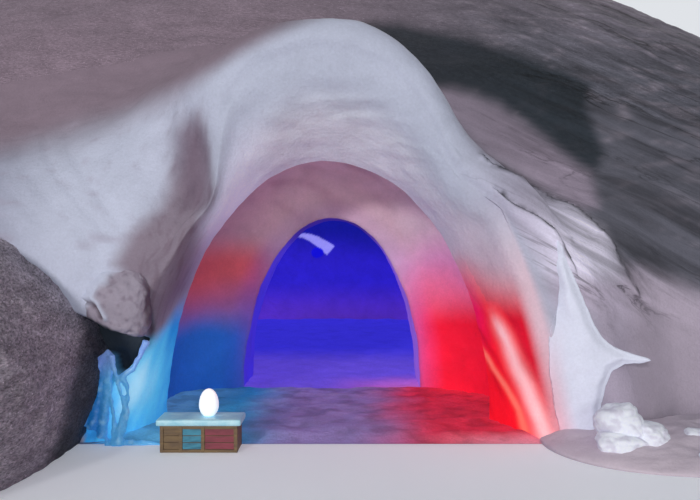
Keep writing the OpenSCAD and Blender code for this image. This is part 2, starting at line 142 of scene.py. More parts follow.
# Directions of the wind-cut streaks on the mound and of the grain of the wing
WIND = (0.90, 0.32, -0.30)
WING_GRAIN = (0.75, -0.6, -0.25)


def cosd(angle):
    return np.cos(np.radians(angle))


def sind(angle):
    return np.sin(np.radians(angle))


def clamp(v):
    return np.clip(v, 0.0, 1.0)


def ease(a, b, v):
    """From 0 at a to 1 at b, smooth at both ends."""
    q = clamp((v - a) / (b - a))
    return q * q * (3 - 2 * q)


def mix(a, b, q):
    return a + (b - a) * q


def over(a, b):
    return (a ** BLEND_FORM + b ** BLEND_FORM) ** (1 / BLEND_FORM)


def fade(away, width):
    """From 1 at no distance down to 0, over about a width."""
    return np.exp(-(away / width) ** 2)


def steps(start, end, count):
    """Even steps from start to end, without the start."""
    return np.linspace(start, end, count)[1:]


# The outlines of the snow house
def outline(side, width, height, form, t):
    return ((side / width) ** form + (np.abs(sind(t)) / height) ** form) ** (-1.0 / form)


def arch(width, height, form, t):
    return outline(np.abs(cosd(t)), width, height, form, t)


def by_side(t, pair):
    return np.where(t > 90, pair[1], pair[0])


def soft_side(t):
    """The sideways share of a ray, rounded off so that the hood and the mouth have no sharp ridge."""
    turn = by_side(t, CREST_TURNS)
    return (np.sqrt(cosd(t) ** 2 + turn ** 2) - turn) / (np.sqrt(1 + turn ** 2) - turn)


def mound_radius(t, s):
    reach = np.where(s < CENTRE_AT, MOUND_FRONT, MOUND_BACK)
    fill = np.maximum(1e-4, 1 - ((s - CENTRE_AT) / reach) ** 2)
    width, height = MOUND_WIDTH * fill ** MOUND_PLAN_POWER, MOUND_HEIGHT * fill ** MOUND_RISE_POWER
    return arch(width, height, by_side(t, MOUND_FORMS), t)


def run_out(s):
    return 1 - 0.98 * ease(DOOR_AT, CENTRE_AT, s)


def hood_radius(t, s):
    width, height = by_side(t, (HOOD_RIGHT, HOOD_LEFT)), HOOD_HEIGHT - RIDGE_FALL * s
    ring = outline(soft_side(t), width, height, by_side(t, HOOD_FORMS), t)
    right = FLANK_RISE * s * ease(54, 28, t) - HOOD_WAIST * fade(t - 65, 8.5)
    left = BANK_RISE * s * ease(92, 118, t) + SADDLE_FILL * fade(t - 141, 7)
    return (ring + right + left) * run_out(s)


DRIFT_SQUEEZE = (WING_OFFSET / WING_WIDTH) ** 2 - 1
DRIFT_RISE = 180 - math.degrees(math.atan(DRIFT_HEIGHT / WING_WIDTH / math.sqrt(DRIFT_SQUEEZE)))


def drift_ray(t):
    a = (cosd(t) / WING_WIDTH) ** 2 + (sind(t) / DRIFT_HEIGHT) ** 2
    b = -cosd(t) * WING_OFFSET / WING_WIDTH ** 2
    return (b + np.sqrt(np.maximum(0, b * b - a * DRIFT_SQUEEZE))) / a


def drift_radius(t, s):
    side = drift_ray(np.maximum(t, DRIFT_RISE))
    return np.where(t >= DRIFT_RISE, side, side * ease(95, DRIFT_RISE, t)) * run_out(s)


def widest(t, s):
    return over(over(hood_radius(t, s), mound_radius(t, s)), np.maximum(1e-3, drift_radius(t, s)))


def full_radius(t, s):
    """The widest of hood, mound and drift, with the saddle between hood and drift blown smooth."""
    spread = 9 * ease(116, 132, t) * ease(180, 166, t)
    return sum(widest(t + spread * q, s) for q in (-1, -0.67, -0.33, 0, 0.33, 0.67, 1)) / 7


def lip_round(t):
    right = mix(0.3 * BROW, BROW, ease(25, 70, t))
    left = mix(BROW, SHOULDER, ease(98, 126, t)) * (1 - 0.9 * ease(158, 177, t))
    return np.where(t < 90, right, left)


def rounded_radius(t, s):
    r = lip_round(t) + 0.001
    left = 1 - np.minimum(1, s / r)
    return full_radius(t, s) - r * (1 - np.sqrt(1 - left * left))


def throat_clear(t):
    return arch(THROAT_WIDTH, THROAT_HEIGHT, ROUND_FORM, t)


def lip_clear(t):
    form = mix(*MOUTH_FORMS, ease(95, 130, t))
    mouth = outline(soft_side(t), MOUTH_WIDTH, HOOD_HEIGHT - BROW - LIP, form, t)
    return np.maximum(throat_clear(t) + 0.1 * HOOD_DEPTH, np.minimum(mouth, rounded_radius(t, 0 * t) - LIP))


def bell_clear(t, s):
    return mix(lip_clear(t), throat_clear(t), clamp(s / HOOD_DEPTH) ** BELL_POWER)


def porch_clear(t, s):
    q = clamp((s - THROAT_AT) / PORCH_DEPTH)
    off = np.sqrt(1 - q ** 5)
    neck = clamp(1 - q / 0.3) ** 2
    width = mix(DOOR_WIDTH, PORCH_WIDTH, off) - (PORCH_WIDTH - THROAT_WIDTH) * neck
    height = mix(DOOR_HEIGHT, PORCH_HEIGHT, off) - (PORCH_HEIGHT - THROAT_HEIGHT) * neck
    return arch(width, height, mix(ROUND_FORM, ROOM_FORM, clamp(2 * q)) - 0.2 * (1 - off), t)


def door_clear(t):
    return arch(DOOR_WIDTH, DOOR_HEIGHT, ROUND_FORM, t)


def chamber_clear(t, s):
    k = np.sqrt(np.maximum(1e-4, 1 - ((s - CENTRE_AT) / CHAMBER_DEPTH) ** 2))
    return arch(CHAMBER_WIDTH * k, CHAMBER_HEIGHT * k, ROOM_FORM, t)


def reveal_clear(t, s):
    return over(door_clear(t), chamber_clear(t, s))


def inner_radius(t, s):
    room = np.where(s < CENTRE_AT, reveal_clear(t, s), chamber_clear(t, s))
    return np.where(s <= THROAT_AT, bell_clear(t, s), np.where(s < DOOR_AT, porch_clear(t, s), room))


def outer_radius(t, s):
    return np.maximum(rounded_radius(t, s), np.where(s < DOOR_AT, inner_radius(t, s) + LIP, 0))


# Noise, the same on every run
SHUFFLE = np.concatenate([np.random.RandomState(20).permutation(256)] * 4)
SLOPES = np.random.RandomState(21).normal(size=(256, 3))
SLOPES /= np.linalg.norm(SLOPES, axis=1)[:, None]


def noise(p):
    """Smooth gradient noise, about -1 to 1, at points (..., 3)."""
    flat = p.reshape(-1, 3)
    cell = np.floor(flat).astype(np.int64)
    f = flat - cell
    cell &= 255
    u = f * f * f * (f * (f * 6 - 15) + 10)
    out = np.zeros(len(flat))
    for corner in np.ndindex(2, 2, 2):
        weight = 1.0
        key = 0
        for axis, step in enumerate(corner):
            weight = weight * (u[:, axis] if step else 1 - u[:, axis])
            key = SHUFFLE[key + cell[:, axis] + step]
        out += weight * ((f - corner) * SLOPES[key]).sum(1)
    return (out * 1.5).reshape(p.shape[:-1])


def fbm(p, octaves=4, gain=0.5):
    return sum(gain ** k * noise(p * 2.03 ** k + 17.3 * k) for k in range(octaves))


def ridged(p, octaves=3):
    return sum(0.5 ** k * (1 - 2 * np.abs(noise(p * 2.1 ** k + 31.7 * k))) for k in range(octaves)) / 1.75


def along(p, direction, length, width):
    """Coordinates stretched along a direction, for streaks."""
    w = np.array(direction, float)
    w /= np.linalg.norm(w)
    side = np.cross(w, [0, 0, 1.0])
    side /= np.linalg.norm(side)
    return np.stack([p @ w / length, p @ side / width, p @ np.cross(w, side) / width], -1)


# Places drawn in the photograph's frame
def in_view(p):
    """The pixel of the photograph's frame in which each point is seen."""
    away = np.maximum(0.3, p[..., 1] - EYE[1])
    right, up = ((p[..., axis] - EYE[axis]) * FOCAL_PIXELS / away for axis in (0, 2))
    return CENTRE_X + right, CENTRE_Y - up


def seen_at(x, y, s):
    """The point seen in a pixel, at a depth behind the lip."""
    away = s + PLAN_SHIFT - EYE[1]
    height = EYE[2] - (y - CENTRE_Y) * away / FOCAL_PIXELS
    return Vector(((x - CENTRE_X) * away / FOCAL_PIXELS + EYE[0], PLAN_SHIFT + s, max(0.0, height)))


def line_near(x, y, line):
    """Distance to a drawn line, how far along it from 0 to 1, and the side, + on the right."""
    best = np.full(x.shape, 1e9)
    where = np.zeros(x.shape)
    side = np.zeros(x.shape)
    for k, ((ax, ay), (bx, by)) in enumerate(zip(line, line[1:])):
        dx, dy = bx - ax, by - ay
        q = clamp(((x - ax) * dx + (y - ay) * dy) / (dx * dx + dy * dy))
        ex, ey = x - ax - q * dx, y - ay - q * dy
        d = np.hypot(ex, ey)
        nearer = d < best
        best = np.where(nearer, d, best)
        where = np.where(nearer, (k + q) / (len(line) - 1), where)
        side = np.where(nearer, np.sign(dx * ey - dy * ex), side)
    return best, where, side


def distance(x, y, line):
    return line_near(x, y, line)[0]


def inside(x, y, shape, soft):
    """1 inside a drawn outline and 0 outside it, with a soft edge."""
    closed = shape + shape[:1]
    within = np.zeros(x.shape, bool)
    for (ax, ay), (bx, by) in zip(closed, closed[1:]):
        spans = (ay > y) != (by > y)
        level = by - ay if by != ay else 1e-9
        within ^= spans & (x < ax + (y - ay) * (bx - ax) / level)
    away = distance(x, y, closed)
    return ease(-soft, soft, np.where(within, away, -away))


# Colours, point by point
def lin(colour):
    """A display colour as linear light."""
    c = np.array(colour, float) / 255
    return np.where(c <= 0.04045, c / 12.92, ((c + 0.055) / 1.055) ** 2.4)


def lay(under, *tops):
    """Lay colours over others in turn, each a display colour or linear colours, with its mask."""
    for colour, mask in tops:
        top = lin(colour) if isinstance(colour, tuple) else colour
        under = under + (top - under) * clamp(mask)[..., None]
    return under


def coloured(p, base, *tops):
    """One display colour for all points, with others laid over it."""
    return lay(np.broadcast_to(lin(base), p.shape), *tops)


# Meshes
def grid_normals(p):
    """Vertex normals of a grid of points, from its quads."""
    n = np.zeros_like(p)
    f = np.cross(p[1:, 1:] - p[:-1, :-1], p[1:, :-1] - p[:-1, 1:])
    for a in (slice(0, -1), slice(1, None)):
        for b in (slice(0, -1), slice(1, None)):
            n[a, b] += f
    return n / np.maximum(1e-12, np.linalg.norm(n, axis=-1))[..., None]


def link(name, data):
    ob = bpy.data.objects.new(name, data)
    bpy.context.scene.collection.objects.link(ob)
    return ob


def finished(mesh, tint, glow, material):
    """Store a piece's own colour and its glow on its points, give it its material and put it in the scene.
    Except on the egg lamp, the glow is painted light.
    """
    for key, values in (("tint", tint), ("glow", glow)):
        rgba = np.ones((len(mesh.vertices), 4), np.float32)
        rgba[:, :3] = values.reshape(-1, 3)
        mesh.color_attributes.new(key, "FLOAT_COLOR", "POINT").data.foreach_set("color", rgba.ravel())
    mesh.materials.append(material)
    return link(mesh.name, mesh)


def grid_piece(name, p, tint, glow, material, normals=None, flip=False, marks=None):
    """A piece from a grid of points (rows, columns, 3), with its colours, its normals and other marks."""
    i = np.arange(p[..., 0].size).reshape(p.shape[:2])
    quads = np.stack([i[:-1, :-1], i[:-1, 1:], i[1:, 1:], i[1:, :-1]], -1).reshape(-1, 4)
    faces = quads[:, ::-1] if flip else quads
    mesh = bpy.data.meshes.new(name)
    mesh.from_pydata(p.reshape(-1, 3).tolist(), [], faces.tolist(), shade_flat=False)
    for key, values in (marks or {}).items():
        stored = mesh.attributes.new(key, "FLOAT_VECTOR", "POINT").data
        stored.foreach_set("vector", values.ravel().astype(np.float32))
    if normals is not None:
        mesh.normals_split_custom_set_from_vertices(normals.reshape(-1, 3).tolist())
    return finished(mesh, tint, glow, material)


def skin_piece(name, rows, material, skin, tint, glow, normals, flip=False, marks=None):
    """A piece from some rows of a larger skin."""
    kept = {key: values[rows] for key, values in (marks or {}).items()}
    return grid_piece(name, skin[rows], tint[rows], glow[rows], material, normals[rows], flip, kept)


def read_points(mesh, kind="vertices", field="co"):
    values = np.empty(len(mesh.vertices) * 3, np.float32)
    getattr(mesh, kind).foreach_get(field, values)
    return values.reshape(-1, 3).astype(float)


def roughened(mesh, depth, size, octaves):
    """A mesh's points as they are, and moved along their normals by noise."""
    p = read_points(mesh)
    return p, p + read_points(mesh, "vertex_normals", "vector") * (depth * fbm(p / size, octaves))[:, None]


def move_points(mesh, p):
    mesh.vertices.foreach_set("co", p.ravel().astype(np.float32))
    mesh.update()


def from_bmesh(name, bm, smooth=True):
    mesh = bpy.data.meshes.new(name)
    bm.to_mesh(mesh)
    bm.free()
    if smooth:
        mesh.shade_smooth()
    return mesh


def ball(name, level):
    bm = bmesh.new()
    bmesh.ops.create_icosphere(bm, subdivisions=level, radius=1.0)
    return from_bmesh(name, bm)


def remeshed(name, bm, voxel, rounds):
    """One closed soft skin round everything in bm."""
    raw = from_bmesh(name + "_raw", bm)
    ob = link(raw.name, raw)
    skin = ob.modifiers.new("skin", "REMESH")
    skin.mode = "VOXEL"
    skin.voxel_size = voxel
    soft = ob.modifiers.new("soft", "SMOOTH")
    soft.factor = 0.5
    soft.iterations = rounds
    mesh = bpy.data.meshes.new_from_object(ob.evaluated_get(bpy.context.evaluated_depsgraph_get()))
    mesh.name = name
    bpy.data.objects.remove(ob)
    bpy.data.meshes.remove(raw)
    mesh.shade_smooth()
    return mesh


# Materials
class Signal:
    """A value that a material works out point by point, and that takes plain arithmetic."""

    def __init__(self, tree, socket):
        self.tree = tree
        self.socket = socket

    def maths(self, operation, other=0.0):
        return add(self.tree, "Math", 0, {0: self, 1: other}, operation=operation)

    def __add__(self, other):
        return self.maths("ADD", other)

    def __sub__(self, other):
        return self.maths("SUBTRACT", other)

    def __mul__(self, other):
        return self.maths("MULTIPLY", other)

    def scaled(self, low, high, start=0.3, end=0.7):
        """What lies from start to end goes from low to high, and what lies beyond stays there."""
        inputs = {"Value": self, "To Min": low, "To Max": high, "From Min": start, "From Max": end}
        return add(self.tree, "MapRange", "Result", inputs)

    def noise(self, scale, detail=4.0, rough=0.55, warp=0.0):
        """Noise at these coordinates."""
        inputs = {"Vector": self, "Scale": scale, "Detail": detail, "Roughness": rough, "Distortion": warp}
        return add(self.tree, "TexNoise", "Fac", inputs)

    def stretched(self, turn, lengths):
        """These coordinates in a turned frame, in which features get these relative lengths."""
        inputs = {"Vector": self, "Rotation": turn, "Scale": lengths}
        return add(self.tree, "Mapping", 0, inputs, vector_type="TEXTURE")

    def shaded(self, factor):
        """This colour, made lighter or darker."""
        return add(self.tree, "VectorMath", 0, {0: self, "Scale": factor}, operation="SCALE")

    def bump(self, strength, distance):
        """The normal that this height gives."""
        inputs = {"Height": self, "Strength": strength, "Distance": distance}
        return add(self.tree, "Bump", "Normal", inputs)


def feed(tree, node, inputs):
    """Give a node its inputs, as constants or from other nodes."""
    for key, value in inputs.items():
        if isinstance(value, Signal):
            tree.links.new(value.socket, node.inputs[key])
        else:
            node.inputs[key].default_value = value


def add(tree, kind, output, inputs, **settings):
    """Add a node with its settings and inputs, and return one of its outputs."""
    node = tree.nodes.new("ShaderNode" + kind)
    for key, value in settings.items():
        setattr(node, key, value)
    feed(tree, node, inputs)
    return Signal(tree, node.outputs[output])


def new_material(name):
    """A new material, its node tree, its shader and the coordinates of its points."""
    m = bpy.data.materials.new(name)
    m.use_nodes = True
    return m, m.node_tree, m.node_tree.nodes["Principled BSDF"], add(m.node_tree, "TexCoord", "Object", {})


def own_mark(where, key, part=0):
    """One part of a mark that the piece carries on its points."""
    vector = add(where.tree, "Attribute", "Vector", {}, attribute_name=key)
    return add(where.tree, "SeparateXYZ", part, {0: vector})


def crack_gap(where, key):
    """The painted shade in the gap of a crack: the mark holds its distance in the photograph's pixels, and
    its strength.
    """
    away, strength = (own_mark(where, key, part) for part in (0, 1))
    broken = where.noise(7.0).scaled(0.1, 1.0, 0.38, 0.58)
    return away.scaled(0.0, 1.0, -5.0, -1.0) * away.scaled(1.0, 0.0, 0.2, 2.2) * broken * strength


def wind_crust(where):
    """Wind-cut layers on the right flank: their height, and painted light and shade that follow it, lighter
    on the raised bands and darker in the cuts.
    """
    lines = where.stretched((0, 0.49, 0), (5.5, 1.4, 0.48))
    streaky = own_mark(where, "streaky")
    bands = lines.noise(2.6, 4.0, 0.54, 0.5)
    level = (lines.noise(1.7, 5.0, 0.6, 0.8) - 0.5).maths("ABSOLUTE")
    cuts = level.scaled(1.0, 0.0, 0.0, 0.022) * lines.noise(1.1, 2.0).scaled(0.0, 0.8, 0.42, 0.6)
    tone = bands.scaled(-0.42, 0.42, 0.34, 0.66) - cuts * 0.7
    return tone * streaky + 1.0, (bands * 5.0 - cuts) * streaky


def snow_material(name, grain, blotch, relief, rough=0.85, stretch=None, glint=0.0, specular=0.25, fine=1.0,
                  cracked=False):
    """Snow: the piece's own tint and its glow (painted light on all but the egg lamp), with blotches, grain,
    painted glints, cracks with painted shade and a grainy bump.
    """
    material, tree, shader, where = new_material(name)
    lines = where.stretched(*stretch) if stretch else where
    shade = lines.noise(3.1, 5.0, 0.6, 0.4).scaled(1 - blotch, 1 + blotch)
    shade *= lines.noise(46.0 * fine, 3.0, 0.65).scaled(1 - grain, 1 + grain)
    # Painted glints: sparse bright specks
    if glint:
        shade += where.noise(95.0 * fine, 1.0, 0.5).scaled(0.0, glint, 0.66, 0.74)
    height = where.noise(120.0 * fine, 3.0, 0.7) * 0.35 + lines.noise(24.0, 4.0, 0.6, 0.3)
    if cracked:
        crust_shade, crust_height = wind_crust(where)
        shade *= crust_shade
        height += crust_height
        # Painted shade in each crack's gap, which the bump also lowers
        for k in range(len(CRACK_LINES)):
            gap = crack_gap(where, "crack_%d" % k)
            shade *= gap * -0.8 + 1.0
            height -= gap
    tint, glow = (add(tree, "VertexColor", "Color", {}, layer_name=key) for key in ("tint", "glow"))
    feed(tree, shader, {
        "Base Color": tint.shaded(shade),
        "Emission Color": glow.shaded(shade),
        "Emission Strength": 1.0,
        "Roughness": where.noise(20.0).scaled(rough - 0.1, rough + 0.08),
        "Specular IOR Level": specular,
        "Normal": height.bump(relief, 0.02),
    })
    return material


def board_material(name, dark, light, scale, rough, relief=0.3, warp=0.5, stretch=(1, 1, 1), glow=0.0):
    """Painted board: two shades in streaks, with worn roughness and a fine relief."""
    material, tree, shader, where = new_material(name)
    streaks = where.stretched((0, 0, 0), stretch).noise(scale, 5.0, 0.6, warp)
    ramp = tree.nodes.new("ShaderNodeValToRGB")
    for stop, place, colour in zip(ramp.color_ramp.elements, (0.35, 0.68), (dark, light)):
        stop.position = place
        stop.color = (*lin(colour), 1)
    feed(tree, ramp, {"Fac": streaks})
    colour = Signal(tree, ramp.outputs["Color"])
    feed(tree, shader, {
        "Base Color": colour,
        "Roughness": streaks.scaled(rough - 0.08, rough + 0.1),
        "Normal": streaks.bump(relief, 0.004),
    })
    if glow:
        feed(tree, shader, {"Emission Color": colour, "Emission Strength": glow})
    return material


PACKED_STRETCH, BANK_STRETCH = ((0, 0.30, 0.34), (2.8, 1.0, 0.6)), ((0, 0.25, -0.68), (2.6, 1.0, 0.35))
BLOWN = snow_material("blown_snow", 0.035, 0.05, 0.35)
HOOD = snow_material("hood_snow", 0.05, 0.06, 0.45, cracked=True)
PACKED = snow_material(
    "packed_snow", 0.24, 0.16, 0.85, stretch=PACKED_STRETCH, glint=0.8, fine=0.7, cracked=True)
LIT = snow_material("lit_snow", 0.05, 0.10, 0.45)
BANK = snow_material("bank_snow", 0.60, 0.36, 1.0, stretch=BANK_STRETCH, glint=1.2, fine=0.7)
TRODDEN = snow_material("trodden_snow", 0.08, 0.10, 0.7)
ICE = snow_material("web_ice", 0.08, 0.12, 0.35, rough=0.30, specular=0.5)
SHELL = snow_material("lamp_shell", 0.01, 0.02, 0.02, rough=0.35, specular=0.5)
BROWN = board_material("bench_brown", (92, 70, 48), (128, 104, 70), 14.0, 0.6, stretch=(2.5, 1, 0.33))
TEAL = board_material("bench_teal", (24, 96, 120), (66, 150, 176), 12.0, 0.5, stretch=(2, 1, 0.4))
MAROON = board_material("bench_maroon", (104, 30, 44), (142, 58, 74), 12.0, 0.55, stretch=(2, 1, 0.4))
# The pale bench top glows faintly: painted light from the lamp on it
PALE_TOP = board_material("bench_top_pale", (150, 208, 226), (190, 230, 240), 9.0, 0.35, glow=0.08)
PALE_FLOOR = board_material("floor_pale", (226, 228, 234), (232, 234, 239), 0.7, 0.9, relief=0.0)


# The outer skin: bell, lip, brow, hood and mound in one grid, from the throat out and back to the toe
COLUMNS = 520
BELL_ROWS, FACE_ROWS, BROW_ROWS, OUTER_ROWS, FRONT_ROWS, BACK_ROWS = 40, 34, 42, 50, 86, 64
FACE_AT = BELL_ROWS - 1
BROW_FROM = FACE_AT + FACE_ROWS - 1
HOOD_END = BROW_FROM + BROW_ROWS + OUTER_ROWS - 1


def skin_columns():
    """Angles evenly spaced along the hood, closer on the cracked right flank and the left cheek."""
    t = np.linspace(0, 180, 3601)
    middle = (t[1:] + t[:-1]) / 2
    flank = ease(10, 16, middle) * ease(75, 66, middle)
    cheek = ease(140, 148, middle) * ease(174, 170, middle)
    length = np.zeros(len(t))
    for r in (rounded_radius(t, 0 * t + 0.3), lip_clear(t)):
        step = np.hypot(np.diff(r * cosd(t)), np.diff(r * sind(t))) * (1 + 0.8 * flank + 0.5 * cheek)
        length[1:] += np.cumsum(step) / step.sum()
    return np.interp(np.linspace(0, length[-1], COLUMNS), length, t)


T = skin_columns()
RADIAL = np.stack([cosd(T), 0 * T, sind(T)], -1)
EDGE_WANDER = 0.016 * fbm(np.stack([T / 9, 0 * T, 0 * T + 3.3], -1), 3)


def rings(depths, radius):
    """A row of points at each depth, at the radius that a function gives there."""
    whole = [s + 0 * T for s in depths]
    return [np.stack([r * cosd(T), s + PLAN_SHIFT, r * sind(T)], -1) for s in whole for r in [radius(T, s)]]


def closed_end(rows):
    """Close a skin's last ring by two smaller ones."""
    return np.array(rows + [rows[-1] * [shrink, 1, shrink] for shrink in (0.5, 0.01)])


def outer_rows():
    rows = rings([HOOD_DEPTH * (1 - u) ** 1.35 for u in np.linspace(0, 1, BELL_ROWS)], bell_clear)
    for u in steps(0, 1, FACE_ROWS):
        rows += rings([0], lambda t, s: mix(lip_clear(t), outer_radius(t, s), u ** 1.5))
    front = math.degrees(math.asin((CENTRE_AT - DOOR_AT) / MOUND_FRONT))
    depths = [lip_round(T) * (1 - cosd(90 * u ** 1.25)) for u in steps(0, 1, BROW_ROWS)]
    depths += [mix(lip_round(T), DOOR_AT, u ** 1.1) for u in steps(0, 1, OUTER_ROWS)]
    depths += [CENTRE_AT - MOUND_FRONT * sind(a) for a in steps(front, 0, FRONT_ROWS)]
    depths += [CENTRE_AT + MOUND_BACK * sind(a) for a in steps(0, TOE_ANGLE, BACK_ROWS)]
    return closed_end(rows + rings(depths, outer_radius))


def settle(p):
    """Keep a skin on the ground and inside the part's box."""
    p[..., 2] = np.clip(p[..., 2], 0, MOUND_HEIGHT - 0.001)
    p[:, [0, -1], 2] = 0
    p[..., 0] = np.clip(p[..., 0], -MOUND_WIDTH + 0.002, MOUND_WIDTH - 0.002)
    p[..., 1] = np.minimum(p[..., 1], TOE_AT + PLAN_SHIFT)
    return p


def throat_edge(s):
    """How much of the throat's wandering edge a row takes, on both sides of it."""
    return ease(0.0, 1.0, 1 - np.abs(s - THROAT_AT) / 0.3)


def outer_marks(p):
    """Where things are on the outer skin: masks that its relief and its colours share."""
    row = np.arange(len(p))[:, None] + 0 * p[..., 0]
    x, s = p[..., 0], p[..., 1] - PLAN_SHIFT
    px, py = in_view(p)
    m = SimpleNamespace(x=x, z=p[..., 2], s=s, px=px, py=py, row=row, warp=noise(p / 0.9))
    m.outside = ease(FACE_AT, BROW_FROM, row)
    m.bell = row < FACE_AT + 2
    m.lit = ease(FACE_AT + 17, FACE_AT + 1, row)
    m.on_mound = ease(0.5, 2.6, s) * m.outside
    m.right = ease(0.2, 1.8, x)
    m.near = ease(1.9, 1.3, s)
    m.front = ease(6.4, 5.0, s)
    m.streaks = ridged(along(p, WIND, 2.6, 0.26) + 0.3 * m.warp[..., None], 2)
    m.wide_streaks = ridged(along(p, WIND, 3.6, 0.5) + 5, 2)
    away, where, side = line_near(px, py, VALLEY_LINE)
    m.valley = fade(away, np.where(side > 0, 34.0, 20.0)) * ease(-0.1, 0.4, where) * m.near
    m.valley *= ease(240, 196, py) * np.where(row < FACE_AT, ease(0.5, 0.0, s), 1)
    m.jamb = inside(px, py, JAMB, 12.0) * m.near
    m.hollow = inside(px, py, HOLLOW, 4.0) * (s < 0.3)
    m.niche = inside(px, py, NICHE, 4.0) * m.near * (row > FACE_AT - 3)
    away, where, side = line_near(px, py, CREVICE_LINE)
    m.crevice = fade(away, 4.0) * m.near * ease(0, 0.2, where)
    return m


def crack_marks(m):
    """Cracks on the right flank: how far the crust stands up below each, and how far each crack is away."""
    lift = 0 * m.x
    cracks = {}
    for line, height, width in CRACK_LINES:
        away, where, side = line_near(m.px, m.py, line)
        ends = ease(0, 0.08, where) * ease(1, 0.9, where) * m.front * (m.row > FACE_AT + 3)
        lift = lift + height * ends * np.where(side > 0, fade(away, 17), -0.3 * fade(away, 8))
        signed = side * away + 2.5 * noise(np.stack([m.x, m.s, m.z], -1) / 0.25)
        signed = np.clip(signed / width, -60, 60)
        cracks["crack_%d" % len(cracks)] = np.stack([signed, ends, 0 * signed], -1)
    return lift, cracks


def ledge_lift(m):
    """Low ledges between the layers of the brow."""
    lift = 0 * m.x
    for line in LEDGE_LINES:
        away, where, side = line_near(m.px, m.py, line)
        ends = ease(0, 0.25, where) * ease(1, 0.75, where) * m.near
        lift = lift + 0.012 * ends * np.where(side > 0, ease(24, 0, away), ease(4, 0, away))
    return lift


def wear_down(q, mask, rounds):
    """Smooth a skin where the mask says so."""
    for _ in range(rounds):
        around = (q[:-2, 1:-1] + q[2:, 1:-1] + q[1:-1, :-2] + q[1:-1, 2:]) / 4
        q[1:-1, 1:-1] += mask[1:-1, 1:-1, None] * (around - q[1:-1, 1:-1])


def outer_relief(p, n, m):
    """Waves, streaks, layers, cracks and ledges, then the groove, the hollow and the rounded lip."""
    d = m.on_mound * (0.05 * fbm(p / 1.9, 3) - 0.02)
    d += (0.012 + 0.014 * m.on_mound) * fbm(p / 0.5 + 9, 3)
    d += 0.003 * fbm(p / 0.09, 2) * (0.4 + m.on_mound)
    blown = m.outside * ease(0.5, 1.3, m.s) * (0.3 + 0.7 * m.right)
    d += blown * (0.020 * m.streaks + 0.035 * m.wide_streaks - 0.02)
    layers = np.sin(m.z * 2 * np.pi / 0.17 + 4 * noise(p / 0.7))
    d += (1 - m.outside) * 0.003 * layers * ease(1.5, 2.2, m.z) * clamp(0.5 + noise(p / 0.5 + 4))
    d += crack_marks(m)[0] + ledge_lift(m)
    q = p + n * d[..., None]
    q += (0.24 * m.valley * (1 + 0.25 * noise(p / 0.14)))[..., None] * np.array([0.10, 1.0, -0.12])
    q += (0.05 * m.crevice)[..., None] * np.array([-0.1, 1.0, 0.0])
    q[..., 1] += 0.34 * m.hollow + 0.05 * m.niche
    lip = np.linalg.norm(p - p[FACE_AT], axis=-1)
    crest = 0.17 + 0.15 * ease(95, 104, T) * ease(122, 112, T)
    soft = np.where(T > 90, crest, mix(0.06, 0.14, ease(40, 80, T)))
    q += (0.42 * soft * fade(lip, soft) * (1 - m.hollow))[..., None] * (0.7 * RADIAL + [0, 0.7, 0])
    wear_down(q, fade(distance(m.px, m.py, WORN_RIM), 13.0) * m.near, 70)
    edge = throat_edge(m.s) * (m.row < FACE_AT)
    kept = 1 - ease(0.75, 1.0, edge)[..., None]
    return settle(p + (q - p) * kept + (edge * EDGE_WANDER)[..., None] * RADIAL)


